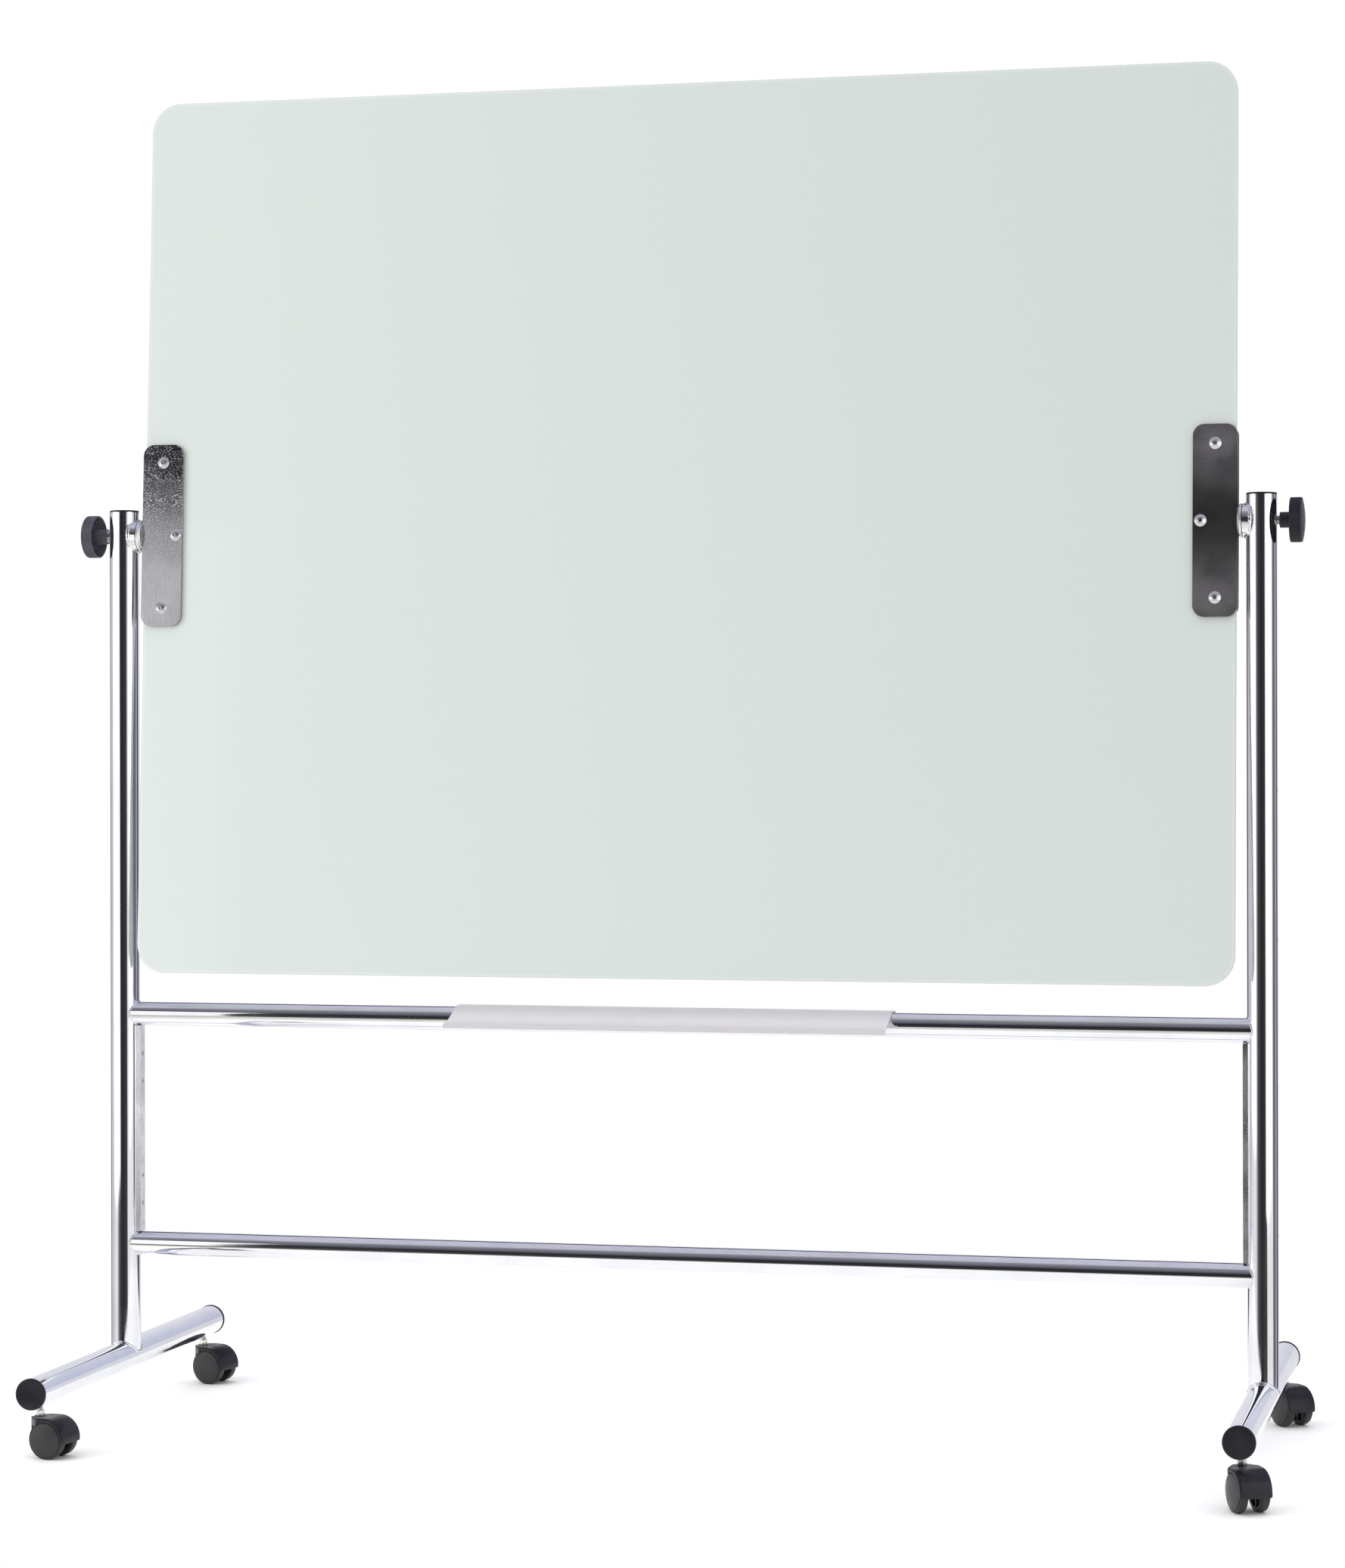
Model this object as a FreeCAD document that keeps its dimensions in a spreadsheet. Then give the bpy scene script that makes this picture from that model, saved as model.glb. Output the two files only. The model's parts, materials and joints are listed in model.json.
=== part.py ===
import FreeCAD, Part
import math
import os

import Sketcher

# A mobile revolving writing board: a double-sided glass panel that turns end over end between
# two chromed posts on castored feet. +X runs to the board's right, +Y to its back, +Z up.
# The origin is on the floor, midway between the posts. Lengths are millimetres, angles degrees.

DIMENSIONS = {
    "board_width": 1500,
    "board_height": 1200,
    "board_corner": 40,
    "board_tilt": 3.13,
    "glass_thick": 4,
    "glass_arris": 0.6,
    "core_thick": 0.6,
    "core_inset": 4,
    "board_hole_radius": 5.5,
    "pivot_height": 1214.5,
    "plate_width": 58,
    "plate_height": 250,
    "plate_corner": 15,
    "plate_thick": 4,
    "plate_edge": 752,
    "gasket_thick": 1,
    "gasket_inset": 0.5,
    "bolt_spread": 100,
    "bolt_inboard": 19,
    "bolt_head_radius": 8,
    "bolt_head_rise": 3.6,
    "bolt_shank_radius": 4,
    "bolt_reach": 12,
    "bolt_socket_radius": 2.9,
    "bolt_socket_depth": 2.2,
    "barrel_radius": 4.8,
    "barrel_reach": 14.2,
    "post_offset": 782,
    "post_top": 1247.5,
    "post_foot_gap": 6,
    "tube_radius": 20,
    "tube_wall": 2,
    "vent_radius": 2,
    "vent_lowest": 292,
    "vent_pitch": 191.5,
    "foot_height": 85.5,
    "foot_half_length": 311,
    "bar_radius": 16,
    "bar_wall": 1.5,
    "tray_bar_height": 557,
    "lower_bar_height": 241,
    "strip_width": 16,
    "strip_thick": 5,
    "strip_bed": 2,
    "strip_gap": 0.4,
    "strip_hole_near": 65,
    "strip_hole_far": 103,
    "screw_head_radius": 3.7,
    "screw_head_rise": 2.2,
    "screw_shank_radius": 2,
    "screw_reach": 9,
    "screw_socket_radius": 1.6,
    "screw_socket_depth": 1.4,
    "collar_radius": 22,
    "collar_face_radius": 18.5,
    "collar_chamfer_reach": 2.6,
    "collar_outer_face": 757.4,
    "washer_inner_face": 757.5,
    "washer_outer_face": 758.4,
    "washer_radius": 20.8,
    "fixed_collar_end": 768,
    "shaft_radius": 6,
    "shaft_end": 826,
    "shaft_chamfer": 1,
    "running_gap": 0.05,
    "bush_radius": 7,
    "bush_setback": 0.4,
    "knob_gap": 3.5,
    "knob_radius": 29,
    "knob_hub_radius": 10.25,
    "knob_hub_length": 13.5,
    "knob_hub_chamfer": 0.9,
    "knob_rim_length": 15,
    "knob_rim_wall": 2.4,
    "knob_web_thick": 5,
    "knob_dome_rise": 3.8,
    "insert_radius": 8,
    "insert_setback": 0.3,
    "insert_length": 24,
    "cap_plug_radius": 17.9,
    "cap_plug_bore": 16,
    "cap_plug_depth": 15,
    "cap_skin": 1,
    "post_cap_radius": 20,
    "post_cap_rise": 2.6,
    "post_cap_round": 1.4,
    "foot_cap_radius": 20.75,
    "foot_cap_rise": 4,
    "foot_cap_round": 1.8,
    "tray_length": 600,
    "tray_shift": -3,
    "tray_sheet": 1.5,
    "tray_clearance": 0.2,
    "tray_slope": 23.6,
    "tray_bend": -2.9,
    "tray_front": -62,
    "tray_lip": 9.6,
    "tray_lip_round": 5,
    "tray_flange": 23,
    "tray_screw_spread": 200,
    "castor_offset": 283,
    "castor_trail": 20,
    "swivel_left_front": 80,
    "swivel_left_back": 75,
    "swivel_right_front": 28,
    "swivel_right_back": 38,
    "wheel_radius": 25,
    "wheel_inner_face": 8.9,
    "wheel_outer_face": 20.2,
    "wheel_disc_radius": 22.4,
    "wheel_dome_rise": 2.8,
    "wheel_tread_round": 1,
    "wheel_dish_radius": 19.5,
    "wheel_dish_depth": 4,
    "wheel_hub_radius": 6,
    "wheel_bore_end": 19,
    "axle_radius": 2.5,
    "axle_half_length": 18.6,
    "hood_radius": 28,
    "hood_inner_radius": 25.8,
    "hood_half_width": 20.5,
    "hood_front": 8.5,
    "hood_front_lip": 43.5,
    "hood_taper_start": 6,
    "hood_rear_edge": 21,
    "hood_round": 1.8,
    "web_half_width": 8.5,
    "stem_radius": 4,
    "stem_foot": 30,
    "stem_collar_foot": 53.5,
    "stem_collar_head": 60.2,
    "stem_collar_radius": 5.4,
    "stem_top": 76,
    "stem_nut_radius": 5.6,
    "stem_nut_foot": 66.2,
    "stem_nut_top": 80,
}

ORIGIN = ("0", "0", "0")
ACROSS = ("0", "0", "1")
UPRIGHT = ("0", "1", "0")
ALONG = ("1", "0", "0")
LEFT_RIGHT = {"left": "-1", "right": "1"}
FRONT_BACK = {"front": "-1", "back": "1"}
MAX_NODES = 60

doc = FreeCAD.newDocument("revolving_board")
nodes = []


# ---------------------------------------------------------------- building blocks

def make_sheet():
    """The driving dimensions, one alias a row."""
    sheet = doc.addObject("Spreadsheet::Sheet", "dims")
    for row, (alias, value) in enumerate(DIMENSIONS.items(), start=1):
        sheet.set(f"A{row}", alias)
        sheet.set(f"B{row}", str(value))
        sheet.setAlias(f"B{row}", alias)
    doc.recompute()


def keep(item, label):
    """Marks an object as a sub-part; its label names its file."""
    item.Label = label
    nodes.append(item)
    return item


def bind(item, **cells):
    """Binds each named property to an expression."""
    for name, expression in cells.items():
        item.setExpression(name, expression)


def place(item, base=ORIGIN, axis=ACROSS, angle="0"):
    """Binds an object's Placement: a turn about an axis, then a move."""
    for letter, turn, shift in zip("xyz", axis, base):
        item.setExpression(f"Placement.Rotation.Axis.{letter}", turn)
        item.setExpression(f"Placement.Base.{letter}", shift)
    item.setExpression("Placement.Rotation.Angle", angle)
    return item


def new_body(name):
    return doc.addObject("PartDesign::Body", name)


def new_sketch(body, role, offset="0"):
    """A sketch on one of the body's own origin planes, moved along that plane's normal."""
    plane = next(item for item in body.Origin.OriginFeatures if item.Role == role)
    sketch = body.newObject("Sketcher::SketchObject", f"{body.Name}_sketch")
    sketch.AttachmentSupport = [(plane, "")]
    sketch.MapMode = "FlatFace"
    sketch.setExpression("AttachmentOffset.Base.z", offset)
    return sketch


def pin(sketch, geometry, position, corner, tag):
    """Holds a sketch point at a pair of expressions."""
    for kind, axis, expression in (("DistanceX", "x", corner[0]), ("DistanceY", "y", corner[1])):
        value = float(sketch.evalExpression(expression))
        index = sketch.addConstraint(Sketcher.Constraint(kind, -1, 1, geometry, position, value))
        sketch.renameConstraint(index, f"{tag}_{axis}")
        sketch.setExpression(f"Constraints.{tag}_{axis}", expression)


def set_radius(sketch, geometry, expression, tag):
    value = float(sketch.evalExpression(expression))
    index = sketch.addConstraint(Sketcher.Constraint("Radius", geometry, value))
    sketch.renameConstraint(index, f"{tag}_radius")
    sketch.setExpression(f"Constraints.{tag}_radius", expression)


def arc_between(start, end, radius):
    """The shorter arc that runs anticlockwise from start to end."""
    chord = end - start
    sagitta_arm = math.sqrt(radius ** 2 - (chord.Length / 2) ** 2)
    normal = FreeCAD.Vector(-chord.y, chord.x, 0).normalize()
    centre = (start + end) * 0.5 + normal * sagitta_arm
    first = math.atan2(start.y - centre.y, start.x - centre.x)
    last = math.atan2(end.y - centre.y, end.x - centre.x)
    circle = Part.Circle(centre, FreeCAD.Vector(0, 0, 1), radius)
    return Part.ArcOfCircle(circle, first, last)


def outline(sketch, corners):
    """A closed outline. A corner is (x, y), or (x, y, turn, radius) when an arc leaves it."""
    points = []
    for corner in corners:
        x, y = (float(sketch.evalExpression(expression)) for expression in corner[:2])
        points.append(FreeCAD.Vector(x, y, 0))
    count = len(points)
    first = sketch.GeometryCount
    ends = []
    for index, corner in enumerate(corners):
        start, end = points[index], points[(index + 1) % count]
        if len(corner) == 2:
            sketch.addGeometry(Part.LineSegment(start, end))
            ends.append((1, 2))
        elif corner[2] == "left":
            radius = float(sketch.evalExpression(corner[3]))
            sketch.addGeometry(arc_between(start, end, radius))
            ends.append((1, 2))
        else:
            radius = float(sketch.evalExpression(corner[3]))
            sketch.addGeometry(arc_between(end, start, radius))
            ends.append((2, 1))
    for index in range(count):
        after = (index + 1) % count
        pair = (first + index, ends[index][1], first + after, ends[after][0])
        sketch.addConstraint(Sketcher.Constraint("Coincident", *pair))
    for index, corner in enumerate(corners):
        tag = f"corner{first + index}"
        pin(sketch, first + index, ends[index][0], corner, tag)
        if len(corner) > 2:
            set_radius(sketch, first + index, corner[3], tag)


def circles(sketch, centres, radius):
    """Circles of one radius; a centre is a pair of expressions."""
    for centre in centres:
        x, y = (float(sketch.evalExpression(expression)) for expression in centre)
        size = float(sketch.evalExpression(radius))
        middle = FreeCAD.Vector(x, y, 0)
        number = sketch.addGeometry(Part.Circle(middle, FreeCAD.Vector(0, 0, 1), size))
        pin(sketch, number, 3, centre, f"circle{number}")
        set_radius(sketch, number, radius, f"circle{number}")


def hexagon(sketch, radius):
    corners = []
    for corner in range(6):
        corners.append((f"{radius} * cos({60 * corner})", f"{radius} * sin({60 * corner})"))
    outline(sketch, corners)


def pad(body, sketch, length, midplane=False):
    feature = body.newObject("PartDesign::Pad", f"{body.Name}_pad")
    feature.Profile = sketch
    feature.Midplane = midplane
    bind(feature, Length=length)
    return feature


def pocket(body, sketch, depth=None):
    """Cuts a sketch: to a depth against its normal, or both ways through everything."""
    feature = body.newObject("PartDesign::Pocket", f"{body.Name}_pocket")
    feature.Profile = sketch
    if depth is None:
        feature.Type = "ThroughAll"
        feature.Midplane = True
    else:
        bind(feature, Length=depth)
    return feature


def dress(body, kind, chosen, **cells):
    """A fillet or chamfer on every edge of the body's tip that passes the test."""
    doc.recompute()
    base = body.Tip
    names = []
    for number, edge in enumerate(base.Shape.Edges, start=1):
        if chosen(edge):
            names.append(f"Edge{number}")
    feature = body.newObject(f"PartDesign::{kind}", f"{body.Name}_{kind.lower()}")
    feature.Base = (base, names)
    bind(feature, **cells)
    return feature


def cell(alias):
    """A dimension's value, for choosing edges by where they lie."""
    return float(doc.getObject("dims").get(alias))


def near(value, wanted):
    return abs(value - wanted) < 0.01


def is_circle_at(edge, position, radius):
    """True for a circle about the X axis at that place along it."""
    curve = edge.Curve
    if curve.TypeId != "Part::GeomCircle":
        return False
    return near(curve.Center.x, position) and near(curve.Radius, radius)


def turned(name, corners, base=ORIGIN, axis=ACROSS, angle="0"):
    """A body of revolution: corners are (distance along the axis, radius)."""
    body = new_body(name)
    sketch = new_sketch(body, "XZ_Plane")
    outline(sketch, corners)
    feature = body.newObject("PartDesign::Revolution", f"{name}_revolution")
    feature.Profile = sketch
    feature.ReferenceAxis = (sketch, ["H_Axis"])
    bind(feature, Angle="360")
    return place(body, base, axis, angle)


def socket(body, face, radius, depth):
    """A hexagon socket sunk into a turned part's end face."""
    sketch = new_sketch(body, "YZ_Plane", face)
    hexagon(sketch, radius)
    pocket(body, sketch, depth)


def sleeve(start, end, inner, outer):
    """The outline of a plain sleeve."""
    return [(start, inner), (end, inner), (end, outer), (start, outer)]


def rod(start, end, radius):
    return sleeve(start, end, "0", radius)


def dome_radius(rim, rise):
    """The radius of a shallow dome that rises that far over a rim of that radius."""
    return f"(({rim} * {rim} + {rise} * {rise}) / (2 * {rise}))"


def group(label, members):
    """One node that holds several identical separate solids."""
    compound = doc.addObject("Part::Compound", label)
    compound.Links = members
    return keep(compound, label)


def cylinder(name, radius, height, base, axis=ACROSS, angle="0"):
    solid = doc.addObject("Part::Cylinder", name)
    bind(solid, Radius=radius, Height=height)
    return place(solid, base, axis, angle)


def cylinder_x(name, radius, start, length, y="0", z="0"):
    return cylinder(name, radius, length, (start, y, z), UPRIGHT, "90")


def cylinder_y(name, radius, start, length, x="0", z="0"):
    return cylinder(name, radius, length, (x, start, z), ALONG, "-90")


def cut(label, base, tools):
    """The base less every tool."""
    tool = doc.addObject("Part::MultiFuse", f"{label}_tools")
    tool.Shapes = tools
    result = doc.addObject("Part::Cut", label)
    result.Base = base
    result.Tool = tool
    return keep(result, label)


def in_board_frame(item):
    """Hangs a panel piece on the pivot axis, leaning back with the board."""
    return place(item, ("0", "0", "dims.pivot_height"), ALONG, "-dims.board_tilt")


def at_side(side, distance):
    return f"{side} * ({distance})"


def facing(side):
    """The turn about Z that points a turned part's axis outward at this side."""
    return "180" if side == LEFT_RIGHT["left"] else "0"


# ---------------------------------------------------------------- stand

def make_post(word, side):
    label = f"{word}_post"
    x = at_side(side, "dims.post_offset")
    foot = "dims.foot_height + dims.post_foot_gap"
    bore = "dims.tube_radius - dims.tube_wall"
    outer = cylinder(f"{label}_outer", "dims.tube_radius", f"dims.post_top - ({foot})",
                     (x, "0", foot))
    tools = [
        cylinder(f"{label}_bore", bore, "dims.post_top", (x, "0", "dims.foot_height")),
        cylinder_y(f"{label}_saddle", "dims.tube_radius", "-2 * dims.tube_radius",
                   "4 * dims.tube_radius", x, "dims.foot_height"),
        cylinder_x(f"{label}_cross", "dims.bush_radius", f"{x} - 2 * dims.tube_radius",
                   "4 * dims.tube_radius", z="dims.pivot_height"),
    ]
    for number in range(4):
        height = f"dims.vent_lowest + {number} * dims.vent_pitch"
        start = f"{x} + ({side} - 1) / 2 * 2 * dims.tube_radius"
        tools.append(cylinder_x(f"{label}_vent{number}", "dims.vent_radius", start,
                                "2 * dims.tube_radius", z=height))
    for number, height in enumerate(strip_hole_heights()):
        start = f"{x} - ({side} + 1) / 2 * 2 * dims.tube_radius"
        tools.append(cylinder_x(f"{label}_screw{number}", "dims.screw_shank_radius", start,
                                "2 * dims.tube_radius", z=height))
    cut(label, outer, tools)


def strip_hole_heights():
    """Two pairs of holes, the same distances above and below the strip's middle."""
    middle = "(dims.tray_bar_height + dims.lower_bar_height) / 2"
    steps = ("-dims.strip_hole_far", "-dims.strip_hole_near", "dims.strip_hole_near",
             "dims.strip_hole_far")
    return [f"{middle} + {step}" for step in steps]


def make_foot_tube(word, side):
    label = f"{word}_foot_tube"
    x = at_side(side, "dims.post_offset")
    bore = "dims.tube_radius - dims.tube_wall"
    outer = cylinder_y(f"{label}_outer", "dims.tube_radius", "-dims.foot_half_length",
                       "2 * dims.foot_half_length", x, "dims.foot_height")
    tools = [cylinder_y(f"{label}_bore", bore, "-dims.foot_half_length - 1",
                        "2 * dims.foot_half_length + 2", x, "dims.foot_height")]
    for place_word, end in FRONT_BACK.items():
        tools.append(cylinder(f"{label}_{place_word}_hole", "dims.stem_nut_radius",
                              "dims.tube_radius",
                              (x, f"{end} * dims.castor_offset",
                               "dims.foot_height - 1.2 * dims.tube_radius")))
    cut(label, outer, tools)


def make_bar(label, height, screw_places=()):
    outer = cylinder_x(f"{label}_outer", "dims.bar_radius", "-dims.post_offset",
                       "2 * dims.post_offset", z=height)
    tools = [cylinder_x(f"{label}_bore", "dims.bar_radius - dims.bar_wall",
                        "-dims.post_offset", "2 * dims.post_offset", z=height)]
    for word, side in LEFT_RIGHT.items():
        base = (at_side(side, "dims.post_offset"), "0", f"{height} - 2 * dims.bar_radius")
        tools.append(cylinder(f"{label}_{word}_saddle", "dims.tube_radius",
                              "4 * dims.bar_radius", base))
    for number, x in enumerate(screw_places):
        tools.append(cylinder_y(f"{label}_screw{number}", "dims.screw_shank_radius", "0",
                                "2 * dims.bar_radius", x, height))
    cut(label, outer, tools)


def make_end_strip(word, side):
    """A flat strip bedded on the post's inner flank, with four counterbored screw holes."""
    label = f"{word}_end_strip"
    inner_face = "(dims.post_offset - dims.tube_radius - dims.strip_thick)"
    foot = "dims.lower_bar_height + dims.bar_radius + dims.strip_gap"
    head = "dims.tray_bar_height - dims.bar_radius - dims.strip_gap"
    depth = "(dims.strip_thick + dims.strip_bed)"
    box = doc.addObject("Part::Box", f"{label}_block")
    bind(box, Length=depth, Width="dims.strip_width", Height=f"{head} - ({foot})")
    corner = f"{side} * {inner_face} + ({side} - 1) / 2 * {depth}"
    place(box, (corner, "-dims.strip_width / 2", foot))
    x = at_side(side, "dims.post_offset")
    tools = [cylinder(f"{label}_bed", "dims.tube_radius", "dims.post_top", (x, "0", "0"))]
    sunk = "dims.screw_head_rise + 0.2"
    for number, height in enumerate(strip_hole_heights()):
        mouth = f"{side} * {inner_face} + ({side} - 1) / 2 * ({sunk})"
        tools.append(cylinder_x(f"{label}_sink{number}", "dims.screw_head_radius + 0.15", mouth,
                                sunk, z=height))
        tools.append(cylinder_x(f"{label}_hole{number}", "dims.screw_shank_radius",
                                f"{corner} - 1", f"{depth} + 2", z=height))
    cut(label, box, tools)


def make_screw(name, base, angle):
    """A socket-head screw: head outward along its axis, shank the other way."""
    corners = [("-dims.screw_reach", "0"), ("dims.screw_head_rise", "0"),
               ("dims.screw_head_rise", "dims.screw_head_radius"),
               ("0", "dims.screw_head_radius"), ("0", "dims.screw_shank_radius"),
               ("-dims.screw_reach", "dims.screw_shank_radius")]
    body = turned(name, corners, base, ACROSS, angle)
    socket(body, "dims.screw_head_rise", "dims.screw_socket_radius", "dims.screw_socket_depth")
    return body


def make_end_strip_screws():
    members = []
    seat = "dims.post_offset - dims.tube_radius - dims.strip_thick + dims.screw_head_rise + 0.2"
    for word, side in LEFT_RIGHT.items():
        angle = "0" if word == "left" else "180"
        for number, height in enumerate(strip_hole_heights()):
            base = (at_side(side, seat), "0", height)
            members.append(make_screw(f"{word}_strip_screw{number}", base, angle))
    group("end_strip_screws", members)


def make_fixed_collar(word, side):
    """The welded collar between the post's inner flank and the friction washer."""
    label = f"{word}_fixed_collar"
    length = "(dims.fixed_collar_end - dims.washer_outer_face)"
    start = f"{side} * dims.washer_outer_face + ({side} - 1) / 2 * {length}"
    outer = cylinder_x(f"{label}_outer", "dims.collar_radius", start, length,
                       z="dims.pivot_height")
    x = at_side(side, "dims.post_offset")
    tools = [
        cylinder(f"{label}_saddle", "dims.tube_radius", "dims.post_top + 60", (x, "0", "0")),
        cylinder_x(f"{label}_bore", "dims.bush_radius", f"{start} - 1", f"{length} + 2",
                   z="dims.pivot_height"),
    ]
    cut(label, outer, tools)


def make_pivot_parts(word, side):
    """What lies on the pivot axis at one side, from the board outward."""
    base = ("0", "0", "dims.pivot_height")
    angle = facing(side)
    bore = "dims.shaft_radius + dims.running_gap"
    start = "dims.washer_outer_face + dims.bush_setback"
    end = "dims.post_offset + dims.tube_radius - dims.bush_setback"
    bush = turned(f"{word}_bush_body", sleeve(start, end, bore, "dims.bush_radius"), base,
                  ACROSS, angle)
    keep(bush, f"{word}_pivot_bush")
    washer = turned(f"{word}_washer_body",
                    sleeve("dims.washer_inner_face", "dims.washer_outer_face", bore,
                           "dims.washer_radius"), base, ACROSS, angle)
    keep(washer, f"{word}_friction_washer")
    collar_corners = [
        ("dims.plate_edge", "dims.shaft_radius"),
        ("dims.plate_edge", "dims.collar_face_radius"),
        ("dims.plate_edge + dims.collar_chamfer_reach", "dims.collar_radius"),
        ("dims.collar_outer_face", "dims.collar_radius"),
        ("dims.collar_outer_face", "dims.shaft_radius"),
    ]
    collar = turned(f"{word}_collar_body", collar_corners, base, ACROSS, angle)
    keep(collar, f"{word}_rotating_collar")
    shaft_corners = [
        ("dims.plate_edge", "0"),
        ("dims.shaft_end", "0"),
        ("dims.shaft_end", "dims.shaft_radius - dims.shaft_chamfer"),
        ("dims.shaft_end - dims.shaft_chamfer", "dims.shaft_radius"),
        ("dims.plate_edge", "dims.shaft_radius"),
    ]
    shaft = turned(f"{word}_shaft_body", shaft_corners, base, ACROSS, angle)
    keep(shaft, f"{word}_pivot_shaft")


def make_knob(word, side):
    """The clamping knob and its threaded insert, along the pivot axis from the hub's end."""
    base = (at_side(side, "dims.post_offset + dims.tube_radius + dims.knob_gap"), "0",
            "dims.pivot_height")
    angle = facing(side)
    gap = "dims.running_gap"
    insert = turned(f"{word}_insert_body",
                    sleeve("dims.insert_setback", "dims.insert_length",
                           f"dims.shaft_radius + {gap}", "dims.insert_radius"),
                    base, ACROSS, angle)
    keep(insert, f"{word}_knob_insert")
    rim_start = "dims.knob_hub_length"
    rim_end = "(dims.knob_hub_length + dims.knob_rim_length)"
    web = f"{rim_end} - dims.knob_web_thick"
    bore_end = "dims.insert_length + 0.3"
    bore = f"dims.insert_radius + {gap}"
    corners = [
        ("0", bore),
        (bore_end, bore),
        (bore_end, "0"),
        (f"{rim_end} + dims.knob_dome_rise", "0", "left",
         dome_radius("dims.knob_radius", "dims.knob_dome_rise")),
        (rim_end, "dims.knob_radius"),
        (rim_start, "dims.knob_radius"),
        (rim_start, "dims.knob_radius - dims.knob_rim_wall"),
        (web, "dims.knob_radius - dims.knob_rim_wall - 1"),
        (web, "dims.knob_hub_radius + 1"),
        (rim_start, "dims.knob_hub_radius"),
        ("dims.knob_hub_chamfer", "dims.knob_hub_radius"),
        ("0", "dims.knob_hub_radius - dims.knob_hub_chamfer"),
    ]
    knob = turned(f"{word}_knob_body", corners, base, ACROSS, angle)
    keep(knob, f"{word}_knob")


def make_cap(label, radius, rise, roundness, base, axis, angle):
    """A push-in tube cap: a hollow plug under a rounded flange."""
    corners = [
        ("-dims.cap_plug_depth", "dims.cap_plug_bore"),
        (f"{rise} - dims.cap_skin", "dims.cap_plug_bore"),
        (f"{rise} - dims.cap_skin", "0"),
        (rise, "0"),
        (rise, radius),
        ("0", radius),
        ("0", "dims.cap_plug_radius"),
        ("-dims.cap_plug_depth", "dims.cap_plug_radius"),
    ]
    body = turned(f"{label}_body", corners, base, axis, angle)
    place_on_axis = cell(rise.removeprefix("dims."))
    size = cell(radius.removeprefix("dims."))
    dress(body, "Fillet", lambda edge: is_circle_at(edge, place_on_axis, size), Radius=roundness)
    keep(body, label)


def make_caps():
    for word, side in LEFT_RIGHT.items():
        x = at_side(side, "dims.post_offset")
        make_cap(f"{word}_post_cap", "dims.post_cap_radius", "dims.post_cap_rise",
                 "dims.post_cap_round", (x, "0", "dims.post_top"), UPRIGHT, "-90")
        for end_word, end in FRONT_BACK.items():
            base = (x, f"{end} * dims.foot_half_length", "dims.foot_height")
            make_cap(f"{word}_{end_word}_foot_cap", "dims.foot_cap_radius",
                     "dims.foot_cap_rise", "dims.foot_cap_round", base, ACROSS,
                     f"{end} * 90")


def make_pen_tray():
    """Folded sheet: flange behind the bar, sloping shelf, upturned front lip."""
    body = new_body("pen_tray_body")
    sketch = new_sketch(body, "YZ_Plane")
    under = "(dims.tray_bar_height + dims.bar_radius + dims.tray_clearance)"
    over = f"({under} + dims.tray_sheet)"
    back = "(dims.bar_radius + dims.tray_clearance)"
    run = "(dims.tray_bend - dims.tray_front)"
    fall = f"({run} * tan(dims.tray_slope))"
    sine, cosine = "sin(dims.tray_slope)", "cos(dims.tray_slope)"
    low = f"({under} - {fall})"
    corners = [
        (f"{back} + dims.tray_sheet", f"{under} - dims.tray_flange"),
        (f"{back} + dims.tray_sheet", over),
        (f"dims.tray_bend - dims.tray_sheet * tan(dims.tray_slope / 2)", over),
        (f"dims.tray_front + dims.tray_sheet * ({cosine} - {sine})",
         f"{low} + dims.tray_sheet * ({cosine} + {sine})"),
        (f"dims.tray_front + dims.tray_sheet * {cosine} - dims.tray_lip * {sine}",
         f"{low} + dims.tray_sheet * {sine} + dims.tray_lip * {cosine}"),
        (f"dims.tray_front - dims.tray_lip * {sine}", f"{low} + dims.tray_lip * {cosine}"),
        ("dims.tray_front", low),
        ("dims.tray_bend", under),
        (back, under),
        (back, f"{under} - dims.tray_flange"),
    ]
    outline(sketch, corners)
    pad(body, sketch, "dims.tray_length", midplane=True)
    sheet = cell("tray_sheet")
    half = cell("tray_length") / 2
    lip_height = cell("tray_bar_height")

    def is_lip_corner(edge):
        middle = edge.CenterOfMass
        at_end = near(abs(middle.x), half)
        return at_end and near(edge.Length, sheet) and middle.y < cell("tray_front") \
            and middle.z < lip_height

    dress(body, "Fillet", is_lip_corner, Radius="dims.tray_lip_round")
    holes = new_sketch(body, "XZ_Plane")
    circles(holes, [(f"{side} * dims.tray_screw_spread", "dims.tray_bar_height")
                    for side in LEFT_RIGHT.values()], "dims.screw_shank_radius + 0.1")
    feature = pocket(body, holes, "dims.bar_radius + 2 * dims.tray_sheet")
    feature.Reversed = False
    place(body, ("dims.tray_shift", "0", "0"))
    keep(body, "pen_tray")


def tray_screw_places():
    return [f"dims.tray_shift + {side} * dims.tray_screw_spread"
            for side in LEFT_RIGHT.values()]


def make_pen_tray_screws():
    members = []
    y = "dims.bar_radius + dims.tray_clearance + dims.tray_sheet"
    for number, x in enumerate(tray_screw_places()):
        members.append(make_screw(f"tray_screw{number}", (x, y, "dims.tray_bar_height"), "90"))
    group("pen_tray_screws", members)


# ---------------------------------------------------------------- castors

def castor_corners():
    """The four castors: name, side, end and the cell that holds its swivel angle."""
    for word, side in LEFT_RIGHT.items():
        for end_word, end in FRONT_BACK.items():
            yield f"{word}_{end_word}", side, end, f"dims.swivel_{word}_{end_word}"


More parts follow.
